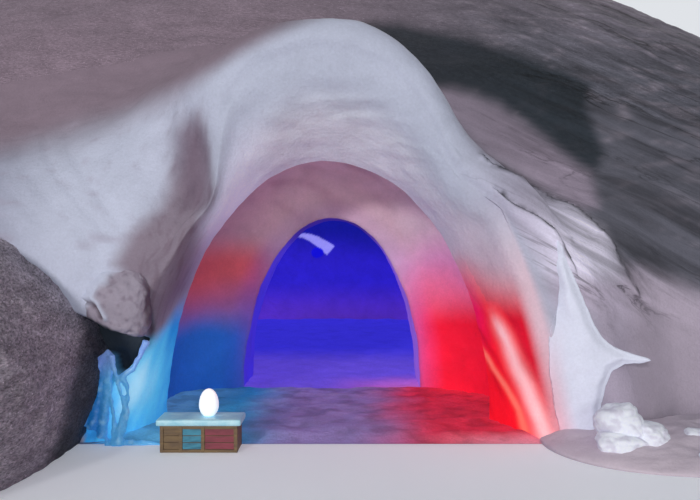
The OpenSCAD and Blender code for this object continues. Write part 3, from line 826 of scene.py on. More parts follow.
def mound_colours(p, m):
    px, py, s, near = m.px, m.py, m.s, m.near
    body = coloured(
        p, PACKED_MAUVE,
        # Painted shade: the mound darker and greyer towards its right side
        (PACKED_GREY, ease(-1.5, 2.5, m.x) * ease(12, 6, s)),
        # Painted shade: darker towards the top of the mound, where the light falls off
        ((126, 114, 125), 0.6 * ease(3.4, 5.6, m.z)),
        # Painted light and shade on the wind streaks: lighter on their ridges, darker in their troughs
        ((152, 142, 154), 0.5 * ease(0.5, 0.95, m.streaks) * m.on_mound * m.right),
        ((70, 69, 78), 0.55 * ease(0.1, -0.6, m.streaks) * m.on_mound * (0.2 + 0.8 * m.right)),
        ((146, 134, 150), 0.9 * inside(px, py, MAUVE_BAND, 9.0) * m.front * m.outside),
        # Painted light: the lit face of a low bank at the right foot
        ((190, 177, 194), 0.9 * inside(px, py, RIGHT_FOOT, 16.0) * m.front * m.outside),
        # Painted shadow: the hood's cast shadow on the mound's right flank
        ((24, 33, 40), 0.90 * inside(px, py, HOOD_CAST_SHADOW, 8.0) * m.front * ease(0.7, 1.1, s)))
    crusty = m.right * clamp(m.outside + ease(240, 200, py)) * ease(436, 530, px + 12 * m.warp)
    toe = near * ease(300, 345, py) * ease(606, 580, px)
    crust = coloured(
        p, CRUST_LEFT,
        (CRUST_RIGHT, ease(510, 590, px)),
        ((172, 160, 178), 0.9 * ease(262, 292, py)))
    blown = coloured(
        p, BLOWN_WHITE,
        (SHOULDER_WHITE, ease(260, 150, px)),
        (crust, crusty * (1 - toe)),
        ((160, 162, 184), 0.8 * ease(70, -30, px) * m.outside))
    white = inside(px, py, WHITE_AREA, mix(44.0, 13.0, ease(40, 200, px)))
    white = white * ease(1.9, 0.75, s + 0.25 * m.warp)
    dashes = ease(0.25, 0.7, noise(along(p, (1.0, 0.1, -0.35), 0.5, 0.10)))
    fibres = ease(0.0, 0.6, noise(along(p, (-0.25, 0.1, -1.0), 0.30, 0.05)))
    return lay(
        body,
        (blown, white + 1 - m.outside),
        ((170, 163, 182), 0.5 * dashes * ease(190, 120, px) * near * m.outside),
        # Painted light: the upper bell made lighter
        ((232, 233, 244), m.bell * ease(0.03, 0.4, s) * ease(1.3, 1.9, m.z)),
        # The jamb's mauve: rough snow's own colour, darkened as painted shade
        (JAMB_MAUVE, 0.85 * m.jamb),
        # Painted shade in the valley and on the jamb, streaked with darker fibres
        ((120, 100, 116), clamp(m.valley + m.jamb) * (0.25 + 0.35 * fibres)),
        # Painted shade, deepest along the valley's floor
        ((110, 92, 110), 0.7 * ease(0.35, 0.95, m.valley)),
        # Painted shade in the crevice at the boss's right
        ((66, 54, 64), 0.85 * m.crevice),
        # Painted shade: the hollow under the boss, dark
        ((26, 40, 50), 0.95 * m.hollow))


def blue_light(p, m, tint, glow):
    """Painted light: a glow that lightens the brow, and the blue lamp's light, on the left of the bell."""
    brow = m.bell * ease(-0.35, -0.8, m.x) * ease(1.55, 2.0, m.z) * ease(0.0, 0.25, m.s)
    top = mix(0.92, 1.25, ease(0.1, 0.7, m.s))
    low = ease(-0.9, -1.2, m.x) * m.bell * ease(top, 0.72 * top, m.z + 0.08 * m.warp)
    low = clamp(low + m.niche) * (1 - m.hollow)
    far = np.linalg.norm(p - np.array([-1.51, PLAN_SHIFT + 0.2, 0.40]), axis=-1)
    strokes = noise(along(p, (0.35, 0.3, 0.9), 0.55, 0.10))
    blue = coloured(
        p, LAMP_BLUE,
        (LAMP_CYAN, ease(0.85, 0.25, far + 0.12 * strokes)),
        ((170, 228, 250), ease(0.40, 0.06, far + 0.10 * strokes)),
        # Painted shade: a darker blue in the niche behind the ice web
        ((18, 84, 150), 0.55 * m.niche * (1 - ease(0.1, 0.5, strokes))))
    return lay(tint, (blue, low)), lay(glow, (lin((150, 152, 178)) * 0.33, brow), (blue * 0.5, low))


def red_light(p, m, tint, glow):
    """Painted light: the red lamp's light on the right of the bell, with streaks of pale light."""
    right = ease(0.9, 1.3, m.x) * m.lit
    low = right * ease(1.55, 0.98, m.z + 0.12 * m.warp - 0.1 * ease(0, 0.8, m.s))
    low = low * ease(0.0, 0.12, m.s + 0.03 * m.warp + 0.05 * ease(1.2, 0.3, m.z))
    streak_wobble = noise(along(p, (-0.35, 0.6, 0.75), 0.9, 0.11))
    away, where, side = line_near(m.px, m.py, RED_LIGHT_STREAKS[0][0])
    red = coloured(
        p, LAMP_RED,
        ((214, 8, 104), 0.7 * ease(0.50, 0.80, m.s) * ease(0.5, 1.2, m.z)),
        ((190, 4, 30), 0.6 * ease(0.1, 0.6, streak_wobble)),
        ((198, 10, 44), 0.75 * (side < 0) * ease(5, 14, away)))
    for line, width, colour in RED_LIGHT_STREAKS:
        away, where, side = line_near(m.px, m.py, line)
        light_streak = fade(away + 1.5 * streak_wobble, width * (0.6 + 0.5 * where)) * ease(-0.05, 0.15, where)
        red = lay(red, (colour, 0.95 * light_streak))
    tint = lay(tint, ((238, 200, 212), 0.8 * right * ease(2.1, 1.2, m.z)), (red, low))
    return tint, lay(glow, (red * 0.36, low))


def make_outer_skin():
    rows = outer_rows()
    marks = outer_marks(rows)
    skin = outer_relief(rows, -grid_normals(rows), marks)
    tint, glow = blue_light(rows, marks, mound_colours(rows, marks), 0 * rows)
    tint, glow = red_light(rows, marks, tint, glow)
    extra = crack_marks(marks)[1]
    streaky = marks.outside * ease(410, 590, marks.px) * ease(0.3, 1.3, marks.x) * ease(0.7, 1.4, marks.z)
    extra["streaky"] = streaky[..., None] * np.ones(3)
    look = (skin, tint, glow, -grid_normals(skin), True, extra)
    hood = skin_piece("hood_snow", slice(0, HOOD_END), HOOD, *look)
    return skin, hood, skin_piece("mound_snow", slice(HOOD_END - 1, None), PACKED, *look)


def make_ground_face(skin):
    """The flat underside that the snow rests on."""
    edge = skin[BROW_FROM:]
    p = mix(edge[:, :1], edge[:, -1:], np.linspace(0, 1, 40)[None, :, None])
    p[..., 2] = 0
    return grid_piece("ground_face", p, coloured(p, (190, 186, 196)), 0 * p, TRODDEN)


# The inner skin: porch, doorway and chamber in one grid, from the throat to the chamber's far wall
PORCH_ROWS, REVEAL_ROWS = 58, 20
PORCH_END = PORCH_ROWS + REVEAL_ROWS
REVEAL_END = CHAMBER_AT + 0.1


def inner_rows():
    porch = [min(0.9995, 1 - (1 - u) ** 1.25) for u in np.linspace(0, 1, PORCH_ROWS)]
    rows = rings([THROAT_AT + PORCH_DEPTH * q for q in porch], porch_clear)
    rows += rings(np.linspace(DOOR_AT, REVEAL_END, REVEAL_ROWS), reveal_clear)
    start = -math.degrees(math.asin((CENTRE_AT - REVEAL_END) / CHAMBER_DEPTH))
    turns = np.concatenate([steps(start, 50, 44), steps(50, 76, 60), steps(76, 88, 8)])
    return closed_end(rows + rings(CENTRE_AT + CHAMBER_DEPTH * sind(turns), inner_radius))


# Painted light and shade on the porch walls: the lamps' red, blue, pink and violet light, a darker left side,
# and dark painted shade on the left just behind the throat
def porch_colours(p, x, z, s, warp):
    smear = ease(-0.1, 0.7, noise(along(p, (0.8, 0.3, -0.5), 0.8, 0.16)))
    back = ease(2.15, 2.38, s) * ease(1.2, 0.4, z) * (1 - ease(0.8, 1.1, np.abs(x)))
    return coloured(
        p, (196, 166, 178),
        ((202, 186, 202), 0.8 * ease(0.2, 1.4, x)),
        ((170, 130, 150), 0.8 * ease(-0.2, -1.3, x + 0.3 * warp)),
        ((92, 58, 84), 0.9 * ease(0.55, 0.0, s - THROAT_AT) * ease(0.5, -0.7, x)),
        ((150, 108, 130), 0.35 * smear * ease(1.4, 2.2, z)),
        ((208, 84, 92), 0.85 * ease(-0.45, -0.95, x) * ease(1.85, 1.35, z + 0.15 * warp)),
        ((44, 116, 212), ease(-0.5, -1.0, x) * ease(1.25, 0.6, z + 0.2 * warp)),
        ((210, 128, 188), 0.8 * ease(0.5, 1.1, x) * ease(2.0, 1.3, z + 0.15 * warp)),
        ((240, 24, 58), ease(0.5, 1.1, x) * ease(1.5, 0.8, z + 0.2 * warp)),
        ((150, 70, 170), 0.8 * back))


# Painted light: the violet lamp light on the doorway's walls
def doorway_colours(p, x, z):
    return coloured(
        p, (112, 92, 224),
        ((176, 120, 214), 0.8 * ease(-0.2, 1.0, x)),
        ((74, 60, 226), 0.8 * ease(-0.3, -0.9, x)),
        ((66, 40, 130), 0.8 * ease(1.5, 1.85, z)))


def chamber_colours(p, x, z, s):
    """Painted light: deep blue lamp light, with the lavender crescent of light on the far wall."""
    px, py = in_view(p)
    far = ease(CENTRE_AT + 0.5, CENTRE_AT + 1.5, s)
    spot = np.hypot((px - CRESCENT_SPOT[0]) / 6.0, (py - CRESCENT_SPOT[1]) / 5.2)
    return coloured(
        p, (30, 34, 150),
        ((58, 44, 196), ease(2.0, 1.2, z + 0.1 * x)),
        ((108, 60, 184), 0.8 * ease(0.9, 0.1, z)),
        ((196, 190, 250), 0.95 * far * inside(px, py, CRESCENT, 0.8)),
        ((30, 26, 222), far * ease(1.15, 0.9, spot)))


def make_inner_skin():
    p = inner_rows()
    x, z, s = p[..., 0], p[..., 2], p[..., 1] - PLAN_SHIFT
    d = 0.016 * fbm(p / 0.45, 3) + 0.003 * fbm(p / 0.08, 2)
    d += 0.008 * ridged(along(p, (0.9, 0.2, -0.35), 0.9, 0.12), 2)
    d *= ease(0, 0.25, s - THROAT_AT) * (1 + 1.5 * ease(3.3, 4.5, s))
    q = settle(p + grid_normals(p) * d[..., None] + (throat_edge(s) * EDGE_WANDER)[..., None] * RADIAL)
    tint = porch_colours(p, x, z, s, noise(p / 0.8))
    # Painted light: the porch walls glow with their lamp colours, the doorway and chamber more
    glow = 0.2 * tint
    violet = doorway_colours(p, x, z)
    night = chamber_colours(p, x, z, s)
    reveal = ease(DOOR_AT - 0.05, DOOR_AT + 0.12, s)
    room = ease(CHAMBER_AT - 0.15, CHAMBER_AT + 0.5, s)
    tint = lay(tint, (violet, reveal), (night, room))
    glow = lay(glow, (0.3 * violet, reveal), (0.5 * night, room))
    look = (q, tint, glow, grid_normals(q))
    porch = skin_piece("porch_snow", slice(0, PORCH_END), LIT, *look)
    return porch, skin_piece("chamber_snow", slice(PORCH_END - 1, None), LIT, *look)


# Trodden floors
def make_floor(name, start, end, rows, columns, colours):
    s = np.linspace(start, end, rows)[:, None]
    left, right = (inner_radius(0 * s + foot, s) + 0.03 for foot in (180, 0))
    x = mix(-left, right, np.linspace(0, 1, columns)[None, :])
    s = s + 0 * x
    p = np.stack([x, s + PLAN_SHIFT, 0 * x], -1)
    lumps = 0.020 * fbm(p / 0.30, 3) + 0.007 * ridged(p / 0.13 + 4, 2) + 0.012 * noise(p / 0.75 + 8) - 0.012
    base = 0.052 * ease(-0.02, 0.30, s) - 0.003
    p[..., 2] = np.clip(base + lumps * (0.35 + 0.65 * ease(0, 0.3, s)), 0.001, FLOOR - 0.0005)
    tint, glow = colours(p, s)
    return grid_piece(name, p, tint, glow, TRODDEN, grid_normals(p))


# Painted lamp light on the porch floor: cyan to the left, red to the right, pink at the front right, with
# random darker blotches and a faint glow
def porch_floor_colours(p, s):
    x = p[..., 0] + 0.12 * noise(p / 0.4)
    tint = coloured(
        p, (158, 140, 200),
        ((60, 168, 220), ease(-0.25, -1.0, x)),
        ((136, 214, 244), 0.7 * ease(-0.9, -1.5, x)),
        ((232, 60, 92), ease(0.25, 1.0, x)),
        ((236, 180, 200), 0.7 * ease(0.35, 0.0, s) * ease(0.6, 1.6, x)))
    tint = lay(tint, (tint * 0.72, ease(0.2, -0.6, fbm(p / 0.28 + 3, 3))))
    return tint, tint * 0.16


# Painted lamp light on the chamber floor: violet and blue, with a glow
def room_floor_colours(p, s):
    tint = coloured(
        p, (104, 80, 200),
        ((64, 56, 206), ease(4.0, 6.0, s)),
        ((190, 100, 180), ease(3.4, 2.4, s) * ease(-0.2, 0.9, p[..., 0])))
    return tint, tint * 0.6


# Heaps: the left wing and the low drift along the right toe
def heaped(p, d):
    """A heap's points moved outwards by d, with its feet on the ground."""
    q = p - grid_normals(p) * d[..., None]
    q[..., 2] = np.maximum(q[..., 2], 0)
    q[:, [0, -1], 2] = 0
    return q


def heap_piece(name, q, tint, material):
    """A heap whose rows go back along the ground to where they began."""
    back = np.linspace(0, 1, 12)[None, 1:, None]
    q, tint = (np.concatenate([v, mix(v[:, -1:], v[:, :1], back)], 1) for v in (q, tint))
    return grid_piece(name, q, tint, 0 * q, material, flip=True)


def make_wing():
    """A half round bank that runs forward, undercut along its foot, its rear end inside the drift."""
    angle = np.linspace(0, 180, 190)[None, :]
    reach = np.concatenate([np.linspace(86.5, 4, 96), [0]])[:, None]
    height = WING_HEIGHT * cosd(reach) ** 0.9
    r = arch(WING_WIDTH * cosd(reach) ** 0.7, height, ROUND_FORM, angle)
    z = r * sind(angle)
    foot = 1 - 0.16 * clamp(1 - z / (0.42 * height)) ** 2
    x, y = -WING_OFFSET + foot * r * cosd(angle), PLAN_SHIFT - WING_REACH * sind(reach)
    p = np.stack([x, y + 0 * z, z], -1)
    nose = mix(np.array([-WING_OFFSET, PLAN_SHIFT - WING_REACH, 0]), p[:1], 0.05)
    p = np.concatenate([nose, p, p[-1:] + [0, 1.1, 0]], 0)
    grains = ridged(along(p, WING_GRAIN, 0.7, 0.07), 3)
    d = 0.05 * fbm(p / 0.9, 3) - 0.03 + 0.018 * fbm(p / 0.22, 3) + 0.010 * grains + 0.006 * fbm(p / 0.05, 2)
    q = heaped(p, d)
    q[..., 1] = np.maximum(q[..., 1], PLAN_SHIFT - WING_REACH + 0.001)
    # Painted light: the wing is made lighter where its surface faces right, as if lit from that side
    tint = coloured(q, (128, 121, 132), ((160, 150, 162), ease(0.0, 0.8, -grid_normals(p)[..., 0])))
    tint = lay(
        tint,
        # The grain: own mottling, with painted shade in its grooves and painted light on its ridges
        (0.55 * tint, 0.6 * ease(0.2, -0.5, grains)),
        ((214, 204, 214), 0.4 * ease(0.45, 0.9, grains)),
        # Painted shade on the wing's right flank
        ((40, 47, 55), 0.85 * inside(*in_view(q), WING_PAINTED_SHADE, 9.0)))
    return heap_piece("wing_snow", q, tint, BANK)


def make_apron():
    angle = np.linspace(0, 180, 150)[None, :]
    reach = np.linspace(82, 0, 60)[:, None]
    r = arch(APRON_WIDTH * cosd(reach) ** 0.6, APRON_HEIGHT * cosd(reach), ROUND_FORM, angle)
    s = -0.004 - sind(reach) + 0 * angle
    p = np.stack([APRON_OFFSET + r * cosd(angle), s + PLAN_SHIFT, r * sind(angle)], -1)
    p = np.concatenate([p, p[-1:] + [0, 0.12, 0]], 0)
    q = heaped(p, (0.035 * fbm(p / 0.45, 3) - 0.01 + 0.008 * fbm(p / 0.1, 2)) * ease(0, 0.08, p[..., 2]))
    tint = coloured(q, (214, 200, 212), ((190, 180, 194), ease(2.4, 3.4, q[..., 0])))
    return heap_piece("apron_snow", q, tint, BLOWN)


# Boss on the left cheek
BOSS_MIDDLE = (-1.75, PLAN_SHIFT + 0.03, 1.15)
BOSS_REACH = (0.29, 0.16, 0.33)


def make_boss():
    """A low rounded lump whose underside is a shelf that falls to the right."""
    mesh = ball("boss_snow", 6)
    u = read_points(mesh)
    flat = mix(1.0, clamp(1 - u[:, 0] ** 2 - u[:, 2] ** 2), ease(0.5, -0.1, u[:, 0] - 0.6 * u[:, 2]))
    u[:, 1] *= np.where(u[:, 1] < 0, flat, 1)
    p = np.sign(u) * np.abs(u) ** 0.85 * BOSS_REACH + BOSS_MIDDLE
    shelf = 0.86 - 0.40 * (p[:, 0] + 1.52)
    above = p[:, 2] - shelf
    p[:, 2] = shelf + 0.5 * (above + np.sqrt(above * above + 0.0012)) - 0.03 * clamp(-above / 0.2)
    px, py = in_view(p)
    front = p[:, 1] < PLAN_SHIFT + 0.02
    curl = fade(distance(px, py, BOSS_CURL), 2.2) * front
    slot = fade(distance(px, py, BOSS_SLOT), 2.0) * front
    q = p + u * (0.030 * fbm(p / 0.24, 3) + 0.010 * fbm(p / 0.06, 3) + 0.022 * curl - 0.03 * slot)[:, None]
    move_points(mesh, q)
    rim = ease(5, -7, px - 118 + 0.8 * (py - 268) + 5 * noise(p / 0.1))
    tint = coloured(
        q, (164, 155, 170),
        ((134, 122, 137), 0.7 * ease(0.0, -0.6, fbm(p / 0.07 + 2, 3))),
        (SHOULDER_WHITE, rim + 0.9 * curl),
        # Painted shade in the slot and down the boss's right side
        ((84, 70, 82), 0.8 * slot + 0.8 * ease(0.80, 0.96, u[:, 0])),
        # Painted shadow on the underside below the shelf
        ((40, 46, 56), 0.9 * ease(0.03, -0.01, q[:, 2] - shelf)))
    return finished(mesh, tint, 0 * q, BLOWN)


# Ice web at the foot of the left cheek: each strand's pixels, its radii from the ground up, and its depth
STRANDS = [
    ([(83, 426), (87, 404), (94, 381), (101, 362), (111, 353)], [.05, .05, .05, .05, .045], .02),
    ([(92, 430), (97, 404), (103, 380), (110, 356)], [.05, .045, .04, .035], .0),
    ([(101, 438), (104, 410), (107, 385), (111, 357)], [.045, .04, .032, .03], -.02),
    ([(114, 446), (113, 420), (110.5, 395), (109, 376), (110, 356)], [.035, .018, .014, .016, .025], -.04),
    ([(126, 414), (121.5, 397), (117, 383), (113.7, 369), (110.6, 355)],
     [.022, .016, .015, .018, .028], -.06),
    ([(118, 446), (121, 419), (127, 401), (127.5, 387), (120.5, 377)], [.045, .024, .022, .022, .028], -.05),
    ([(120, 378), (132, 369.6), (139.7, 356), (146, 341)], [.028, .024, .022, .034], -.04),
    ([(112, 446), (124, 432), (127, 414), (124, 398)], [.04, .02, .018, .014], -.05),
    ([(117, 383), (120, 379), (121, 377)], [.014, .02, .026], -.05),
    ([(105, 446), (120, 452), (140, 460), (160, 464)], [.05, .04, .035, .02], -.02),
]


def tube(bm, points, radii, sides=10):
    """A closed round strand through points."""
    rounds = []
    for k, centre in enumerate(points):
        way = (points[min(k + 1, len(points) - 1)] - points[max(k - 1, 0)]).normalized()
        a = way.orthogonal().normalized()
        b = way.cross(a)
        angles = [j * math.tau / sides for j in range(sides)]
        rounds.append([bm.verts.new(centre + radii[k] * (math.cos(g) * a + math.sin(g) * b)) for g in angles])
    for lower, upper in zip(rounds, rounds[1:]):
        turn = min(range(sides), key=lambda o: (lower[0].co - upper[o].co).length)
        for j in range(sides):
            nxt = (j + 1) % sides
            bm.faces.new((lower[j], lower[nxt], upper[(nxt + turn) % sides], upper[(j + turn) % sides]))
    bm.faces.new(rounds[0][::-1])
    bm.faces.new(rounds[-1])


def make_ice_web():
    bm = bmesh.new()
    for pixels, radii, s in STRANDS:
        tube(bm, [seen_at(x, y, s) for x, y in pixels], radii)
    mesh = remeshed("ice_web", bm, 0.011, 3)
    p, q = roughened(mesh, 0.008, 0.06, 2)
    q[:, 2] = np.maximum(q[:, 2], 0)
    move_points(mesh, q)
    # Painted light: the blue lamp's light on the ice web, deeper blue to the left, lavender higher up, with a
    # faint glow
    tint = coloured(
        q, (92, 176, 234),
        ((36, 124, 206), ease(-1.76, -1.92, q[:, 0])),
        ((150, 208, 246), 0.5 * ease(0.1, 0.7, noise(p / 0.06))),
        ((150, 150, 226), 0.5 * ease(0.5, 0.75, q[:, 2])))
    return finished(mesh, tint, tint * 0.25, ICE)


# Buttress and hooked fin on the right foot of the lip, seen from the front: x and z
FIN_LEFT_EDGE = [
    (1.98, 0), (1.91, .30), (1.87, .56), (1.855, .84), (1.87, .97), (1.92, 1.12), (1.945, 1.29), (1.91, 1.47),
    (1.915, 1.71)]
FIN_RIGHT_EDGE = [
    (1.99, 1.56), (2.065, 1.38), (2.155, 1.17), (2.22, 1.01), (2.30, .885), (2.40, .81), (2.53, .755),
    (2.69, .712), (2.60, .685), (2.47, .675), (2.375, .61), (2.32, .48), (2.28, .30), (2.30, .12), (2.36, 0)]
FIN_FRONT, FIN_REAR = PLAN_SHIFT - 0.085, PLAN_SHIFT + 0.06


def make_fin():
    bm = bmesh.new()
    face = bm.faces.new([bm.verts.new((x, FIN_REAR, z)) for x, z in FIN_LEFT_EDGE + FIN_RIGHT_EDGE])
    made = bmesh.ops.extrude_face_region(bm, geom=[face])
    for v in made["geom"]:
        if isinstance(v, bmesh.types.BMVert):
            v.co.y = FIN_FRONT
    bmesh.ops.recalc_face_normals(bm, faces=bm.faces[:])
    bmesh.ops.triangulate(bm, faces=bm.faces[:])
    mesh = remeshed("fin_snow", bm, 0.012, 5)
    p, q = roughened(mesh, 0.008, 0.14, 3)
    x, z = p[:, 0], p[:, 2]
    left, right = distance(x, z, FIN_LEFT_EDGE), distance(x, z, FIN_RIGHT_EDGE)
    full = (0.3 + 0.7 * ease(0.0, 0.10, right)) * ease(-0.03, mix(0.26, 0.06, ease(0.9, 1.25, z)), left)
    base = PLAN_SHIFT + 0.010 * ease(0.10, 0.0, left)
    q[:, 1] = np.where(p[:, 1] < PLAN_SHIFT - 0.01, base - (base - q[:, 1]) * full, q[:, 1])
    q[:, 1] -= 0.06 * ease(2.30, 2.69, x)
    q[:, 2] = np.maximum(q[:, 2], 0)
    move_points(mesh, q)
    # Painted light: red lamp light near the fin's lower left edge, and a faint glow
    tint = coloured(q, (228, 231, 248), ((240, 182, 196), 0.8 * ease(0.16, 0.0, left) * ease(1.1, 0.2, z)))
    return finished(mesh, tint, tint * 0.02, BLOWN)


# Lumps of cut snow at the right foot: centre, half sizes, turn, layers and seed
LUMPS = [
    ((2.33, PLAN_SHIFT - 0.38, 0.22), (0.19, 0.19, 0.20), 0.35, 2.6, 3.0),
    ((2.52, PLAN_SHIFT - 0.42, 0.13), (0.17, 0.18, 0.15), 0.9, 2.2, 14.0),
    ((2.30, PLAN_SHIFT - 0.50, 0.10), (0.20, 0.15, 0.12), 0.1, 1.8, 21.0),
    ((2.90, PLAN_SHIFT - 0.42, 0.15), (0.10, 0.09, 0.08), 1.3, 3.0, 5.0),
    ((3.21, PLAN_SHIFT - 0.34, 0.20), (0.09, 0.07, 0.07), 2.2, 3.0, 8.0),
    ((2.85, PLAN_SHIFT - 0.78, 0.09), (0.07, 0.06, 0.06), 0.8, 2.0, 11.0),
]


def lump(bm, centre, size, turn, layers, seed):
    """A rounded lump with worn layers."""
    mesh = ball("lump", 5 if size[0] > 0.15 else 4)
    u = read_points(mesh)
    level = u[:, 2] * layers + 0.9 * noise(u * 1.3 + seed)
    step = (np.abs((level % 1) - 0.5) * 2) ** 0.6 - 0.5
    worn = 1 + 0.07 * step + 0.16 * noise(u * 1.2 + seed) + 0.03 * fbm(u * 3.1 + seed, 3)
    x, y, z = (np.sign(u) * np.abs(u) ** 0.9 * size * worn[:, None]).T
    x = x + 0.12 * size[0] * np.sin(u[:, 2] * 3 + seed)
    c, s = math.cos(turn), math.sin(turn)
    p = np.stack([x * c - y * s, x * s + y * c, z], -1) + centre
    p[:, 2] = np.maximum(p[:, 2], 0.0)
    move_points(mesh, p)
    bm.from_mesh(mesh)
    bpy.data.meshes.remove(mesh)


def make_lumps():
    bm = bmesh.new()
    for row in LUMPS:
        lump(bm, *row)
    mesh = from_bmesh("clods_snow", bm)
    p = read_points(mesh)
    tint = coloured(p, (242, 245, 255), ((208, 204, 222), 0.6 * ease(0.1, -0.5, fbm(p / 0.06, 2))))
    # Painted light: a faint glow
    return finished(mesh, tint, tint * 0.02, BLOWN)


# Bench and lamp
BENCH_X, BENCH_Y = -1.01, PLAN_SHIFT - 0.15
BENCH_LENGTH, BENCH_WIDTH, BENCH_TOP, BENCH_SLAB = 0.68, 0.32, 0.27, 0.055
BOX_INSET_X, BOX_INSET_Y = 0.03, 0.02
LAMP_X, LAMP_RADIUS, LAMP_HEIGHT = BENCH_X + 0.06, 0.08, 0.22
POST, RAIL, FRAME_DEPTH, END_BOARD = 0.028, 0.024, 0.022, 0.02
POSTS_AT = (0.152, 0.330)
BOARDS = 3


def bench_sides(inset_x=0.0, inset_y=0.0):
    """The left, right, front and rear of the bench, less an inset."""
    x, y = BENCH_LENGTH / 2 - inset_x, BENCH_WIDTH / 2 - inset_y
    return BENCH_X - x, BENCH_X + x, BENCH_Y - y, BENCH_Y + y


def add_box(bm, low, high, shade, bevel):
    made = bmesh.ops.create_cube(bm, size=1.0)["verts"]
    for v in made:
        v.co = [mix(a, b, q + 0.5) for a, b, q in zip(low, high, v.co)]
    for face in {f for v in made for f in v.link_faces}:
        face.material_index = shade
    edges = list(dict.fromkeys(e for v in made for e in v.link_edges))
    bmesh.ops.bevel(bm, geom=edges, offset=bevel, segments=2, affect="EDGES", profile=0.6)


def make_bench_crate():
    """Posts and rails with sunk boards in three colours between them."""
    bm = bmesh.new()
    x0, x1, y0, y1 = bench_sides(BOX_INSET_X, BOX_INSET_Y)
    top = BENCH_TOP - BENCH_SLAB
    posts = [x0, *(x0 + place for place in POSTS_AT), x1 - POST]
    board = (top - 2 * RAIL) / BOARDS
    for front in (y0, y1 - FRAME_DEPTH):
        back = front + FRAME_DEPTH
        for x in posts:
            add_box(bm, (x, front, 0), (x + POST, back, top), 0, 0.003)
        for z in (0, top - RAIL):
            add_box(bm, (x0, front + 0.002, z), (x1, back - 0.002, z + RAIL), 0, 0.003)
        for shade, (a, b) in enumerate(zip(posts, posts[1:])):
            for k in range(BOARDS):
                low, high = RAIL + k * board + 0.001, RAIL + (k + 1) * board - 0.001
                add_box(bm, (a + POST, front + 0.008, low), (b, back - 0.004, high), shade, 0.002)
    for x in (x0, x1 - END_BOARD):
        add_box(bm, (x, y0 + 0.02, 0.004), (x + END_BOARD, y1 - 0.02, top - 0.002), 0, 0.003)
    mesh = from_bmesh("bench_crate", bm, smooth=False)
    for material in (BROWN, TEAL, MAROON):
        mesh.materials.append(material)
    return link("bench_crate", mesh)


def make_bench_top():
    bm = bmesh.new()
    x0, x1, y0, y1 = bench_sides()
    add_box(bm, (x0, y0, BENCH_TOP - BENCH_SLAB), (x1, y1, BENCH_TOP), 0, 0.016)
    long_edges = [e for e in bm.edges if e.calc_length() > 0.1]
    bmesh.ops.subdivide_edges(bm, edges=long_edges, cuts=12, use_grid_fill=True)
    mesh = from_bmesh("bench_top", bm)
    p = read_points(mesh)
    worn = p[:, 2] - 0.003 + 0.003 * noise(p / 0.08)
    p[:, 2] = np.where(p[:, 2] > BENCH_TOP - 0.01, np.minimum(worn, BENCH_TOP), p[:, 2])
    move_points(mesh, p)
    mesh.materials.append(PALE_TOP)
    return link("bench_top", mesh)


def make_lamp():
    """An egg with a flat foot, widest two fifths of the way up."""
    up = mix(-60, 90, np.linspace(0, 1, 40)[:, None])
    turn = np.linspace(0, 360, 65)[None, :]
    low = 0.4 * LAMP_HEIGHT
    z = BENCH_TOP + low + np.where(up < 0, low / sind(60), LAMP_HEIGHT - low) * sind(up) + 0 * turn
    r = LAMP_RADIUS * cosd(up)
    p = np.stack([LAMP_X + r * cosd(turn), BENCH_Y + r * sind(turn), z], -1)
    foot = mix(p[:1], np.array([LAMP_X, BENCH_Y, BENCH_TOP]), 0.99)
    p = np.concatenate([foot, p], 0)
    warm = ease(0.5, 1.0, (p[..., 2] - BENCH_TOP) / LAMP_HEIGHT)
    shine = coloured(p, (235, 246, 255), ((255, 252, 246), warm))
    return grid_piece("egg_glow", p, coloured(p, (250, 250, 255)), 0.5 * shine, SHELL)


# Each piece, hung under the root, and the part's nodes that it stands for, which are hidden
def named(prefix, endings):
    return [prefix + ending for ending in endings.split()]


def dress(piece, slot, *nodes):
    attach(piece, "root")
    if nodes:
        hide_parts(*nodes)


ARCS = "right right_haunch crown left_haunch left"
ROOM_END = CENTRE_AT + 0.953 * CHAMBER_DEPTH
skin, hood_snow, mound_snow = make_outer_skin()
porch_snow, chamber_snow = make_inner_skin()
dress(hood_snow, "smooth_snow", *named("hood_", "right_cheek right_haunch crown left_haunch left_cheek"))
dress(porch_snow, "smooth_snow",
      *named("porch_", "right_wall right_haunch roof left_haunch left_wall"),
      *named("bulkhead_", "right right_haunch head left_haunch left"))
dress(mound_snow, "mound_snow", *named("chamber_rear_", ARCS), "rear_bank")
dress(chamber_snow, "smooth_snow", *named("chamber_front_", ARCS))
dress(make_ground_face(skin), "trodden_snow")
dress(make_floor("porch_floor_snow", 0.0, DOOR_AT, 110, 170, porch_floor_colours), "trodden_snow",
      "porch_floor")
dress(make_floor("room_floor_snow", DOOR_AT, ROOM_END, 120, 110, room_floor_colours), "trodden_snow",
      "doorway_floor", "chamber_floor")
dress(make_wing(), "mound_snow", "left_wing")
dress(make_boss(), "smooth_snow", "left_boss")
dress(make_ice_web(), "blue_ice", "ice_ribs")
dress(make_fin(), "smooth_snow", "right_fin")
dress(make_apron(), "smooth_snow", "right_apron")
dress(make_lumps(), "smooth_snow", "snow_clods")
dress(make_bench_crate(), "bench_panels", "bench_box")
dress(make_bench_top(), "bench_top", "bench_top_slab")
dress(make_lamp(), "lamp", "egg_lamp")


# Pale floor, soft light and the photograph's camera
FLOOR_REACH, FLOOR_LEVEL = 60, -0.002


def seen_directly(tree):
    """1 for the rays that show the background itself, and 0 for those that light the part."""
    rays = tree.nodes.new("ShaderNodeLightPath").outputs
    shown = [Signal(tree, rays["Is %s Ray" % kind]) for kind in ("Camera", "Glossy", "Transmission")]
    return shown[0].maths("MAXIMUM", shown[1].maths("MAXIMUM", shown[2]))


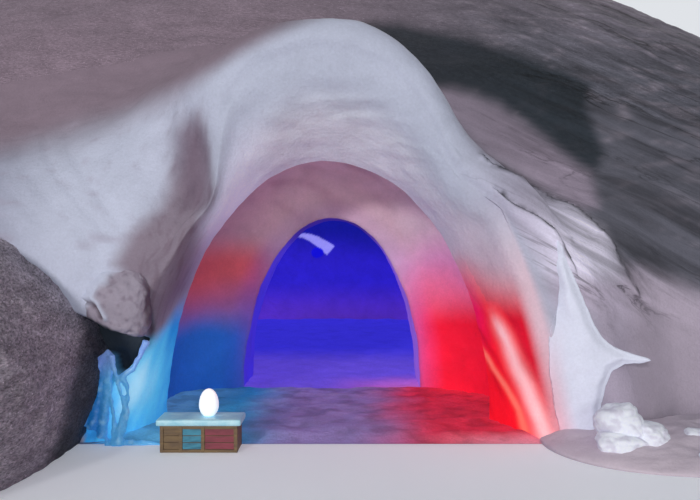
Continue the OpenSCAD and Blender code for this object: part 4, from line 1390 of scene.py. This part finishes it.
def make_stage():
    """A wide floor, shown paler than the lamps make it, with the part's shadows kept."""
    tree = PALE_FLOOR.node_tree
    shown = seen_directly(tree) * 0.30
    pale = (*lin((222, 225, 232)), 1)
    feed(tree, tree.nodes["Principled BSDF"], {"Emission Color": pale, "Emission Strength": shown})
    mesh = bpy.data.meshes.new("floor")
    places = [(x, y, FLOOR_LEVEL) for y in (-FLOOR_REACH, FLOOR_REACH) for x in (-FLOOR_REACH, FLOOR_REACH)]
    mesh.from_pydata(places, [], [(0, 1, 3, 2)])
    mesh.materials.append(PALE_FLOOR)
    link("floor", mesh)


def make_sky():
    world = bpy.data.worlds.new("studio")
    bpy.context.scene.world = world
    world.use_nodes = True
    tree = world.node_tree
    light = tree.nodes["Background"]
    feed(tree, light, {"Color": (0.93, 0.95, 1.0, 1), "Strength": 0.30})
    pale = add(tree, "Background", 0, {"Color": (*lin((224, 227, 232)), 1)})
    both = add(tree, "MixShader", 0, {0: seen_directly(tree), 1: Signal(tree, light.outputs[0]), 2: pale})
    feed(tree, tree.nodes["World Output"], {"Surface": both})


def make_sun(name, towards, strength, spread):
    """A lamp that shines from the direction "towards"."""
    lamp = bpy.data.lights.new(name, "SUN")
    lamp.energy = strength
    lamp.color = (1.0, 0.985, 0.97)
    lamp.angle = spread
    link(name, lamp).rotation_euler = Vector(towards).to_track_quat("Z", "Y").to_euler()


def make_camera():
    camera = bpy.data.cameras.new("camera")
    camera.sensor_width = 36.0
    camera.lens = camera.sensor_width * FOCAL_PIXELS / FRAME_WIDTH
    ob = link("camera", camera)
    ob.location = EYE
    ob.rotation_euler = (math.pi / 2 - math.atan((FRAME_MIDDLE - CENTRE_Y) / FOCAL_PIXELS), 0, 0)
    bpy.context.scene.camera = ob


make_stage()
make_sky()
make_sun("key", (-0.335, -0.919, 0.208), 1.4, 0.1)
make_sun("fill", (0.15, -1.0, 0.06), 0.5, 0.3)
make_sun("back", (0.35, 1.0, 0.55), 0.7, 0.5)
make_camera()
bpy.context.scene.view_settings.view_transform = "Standard"
bpy.context.view_layer.update()
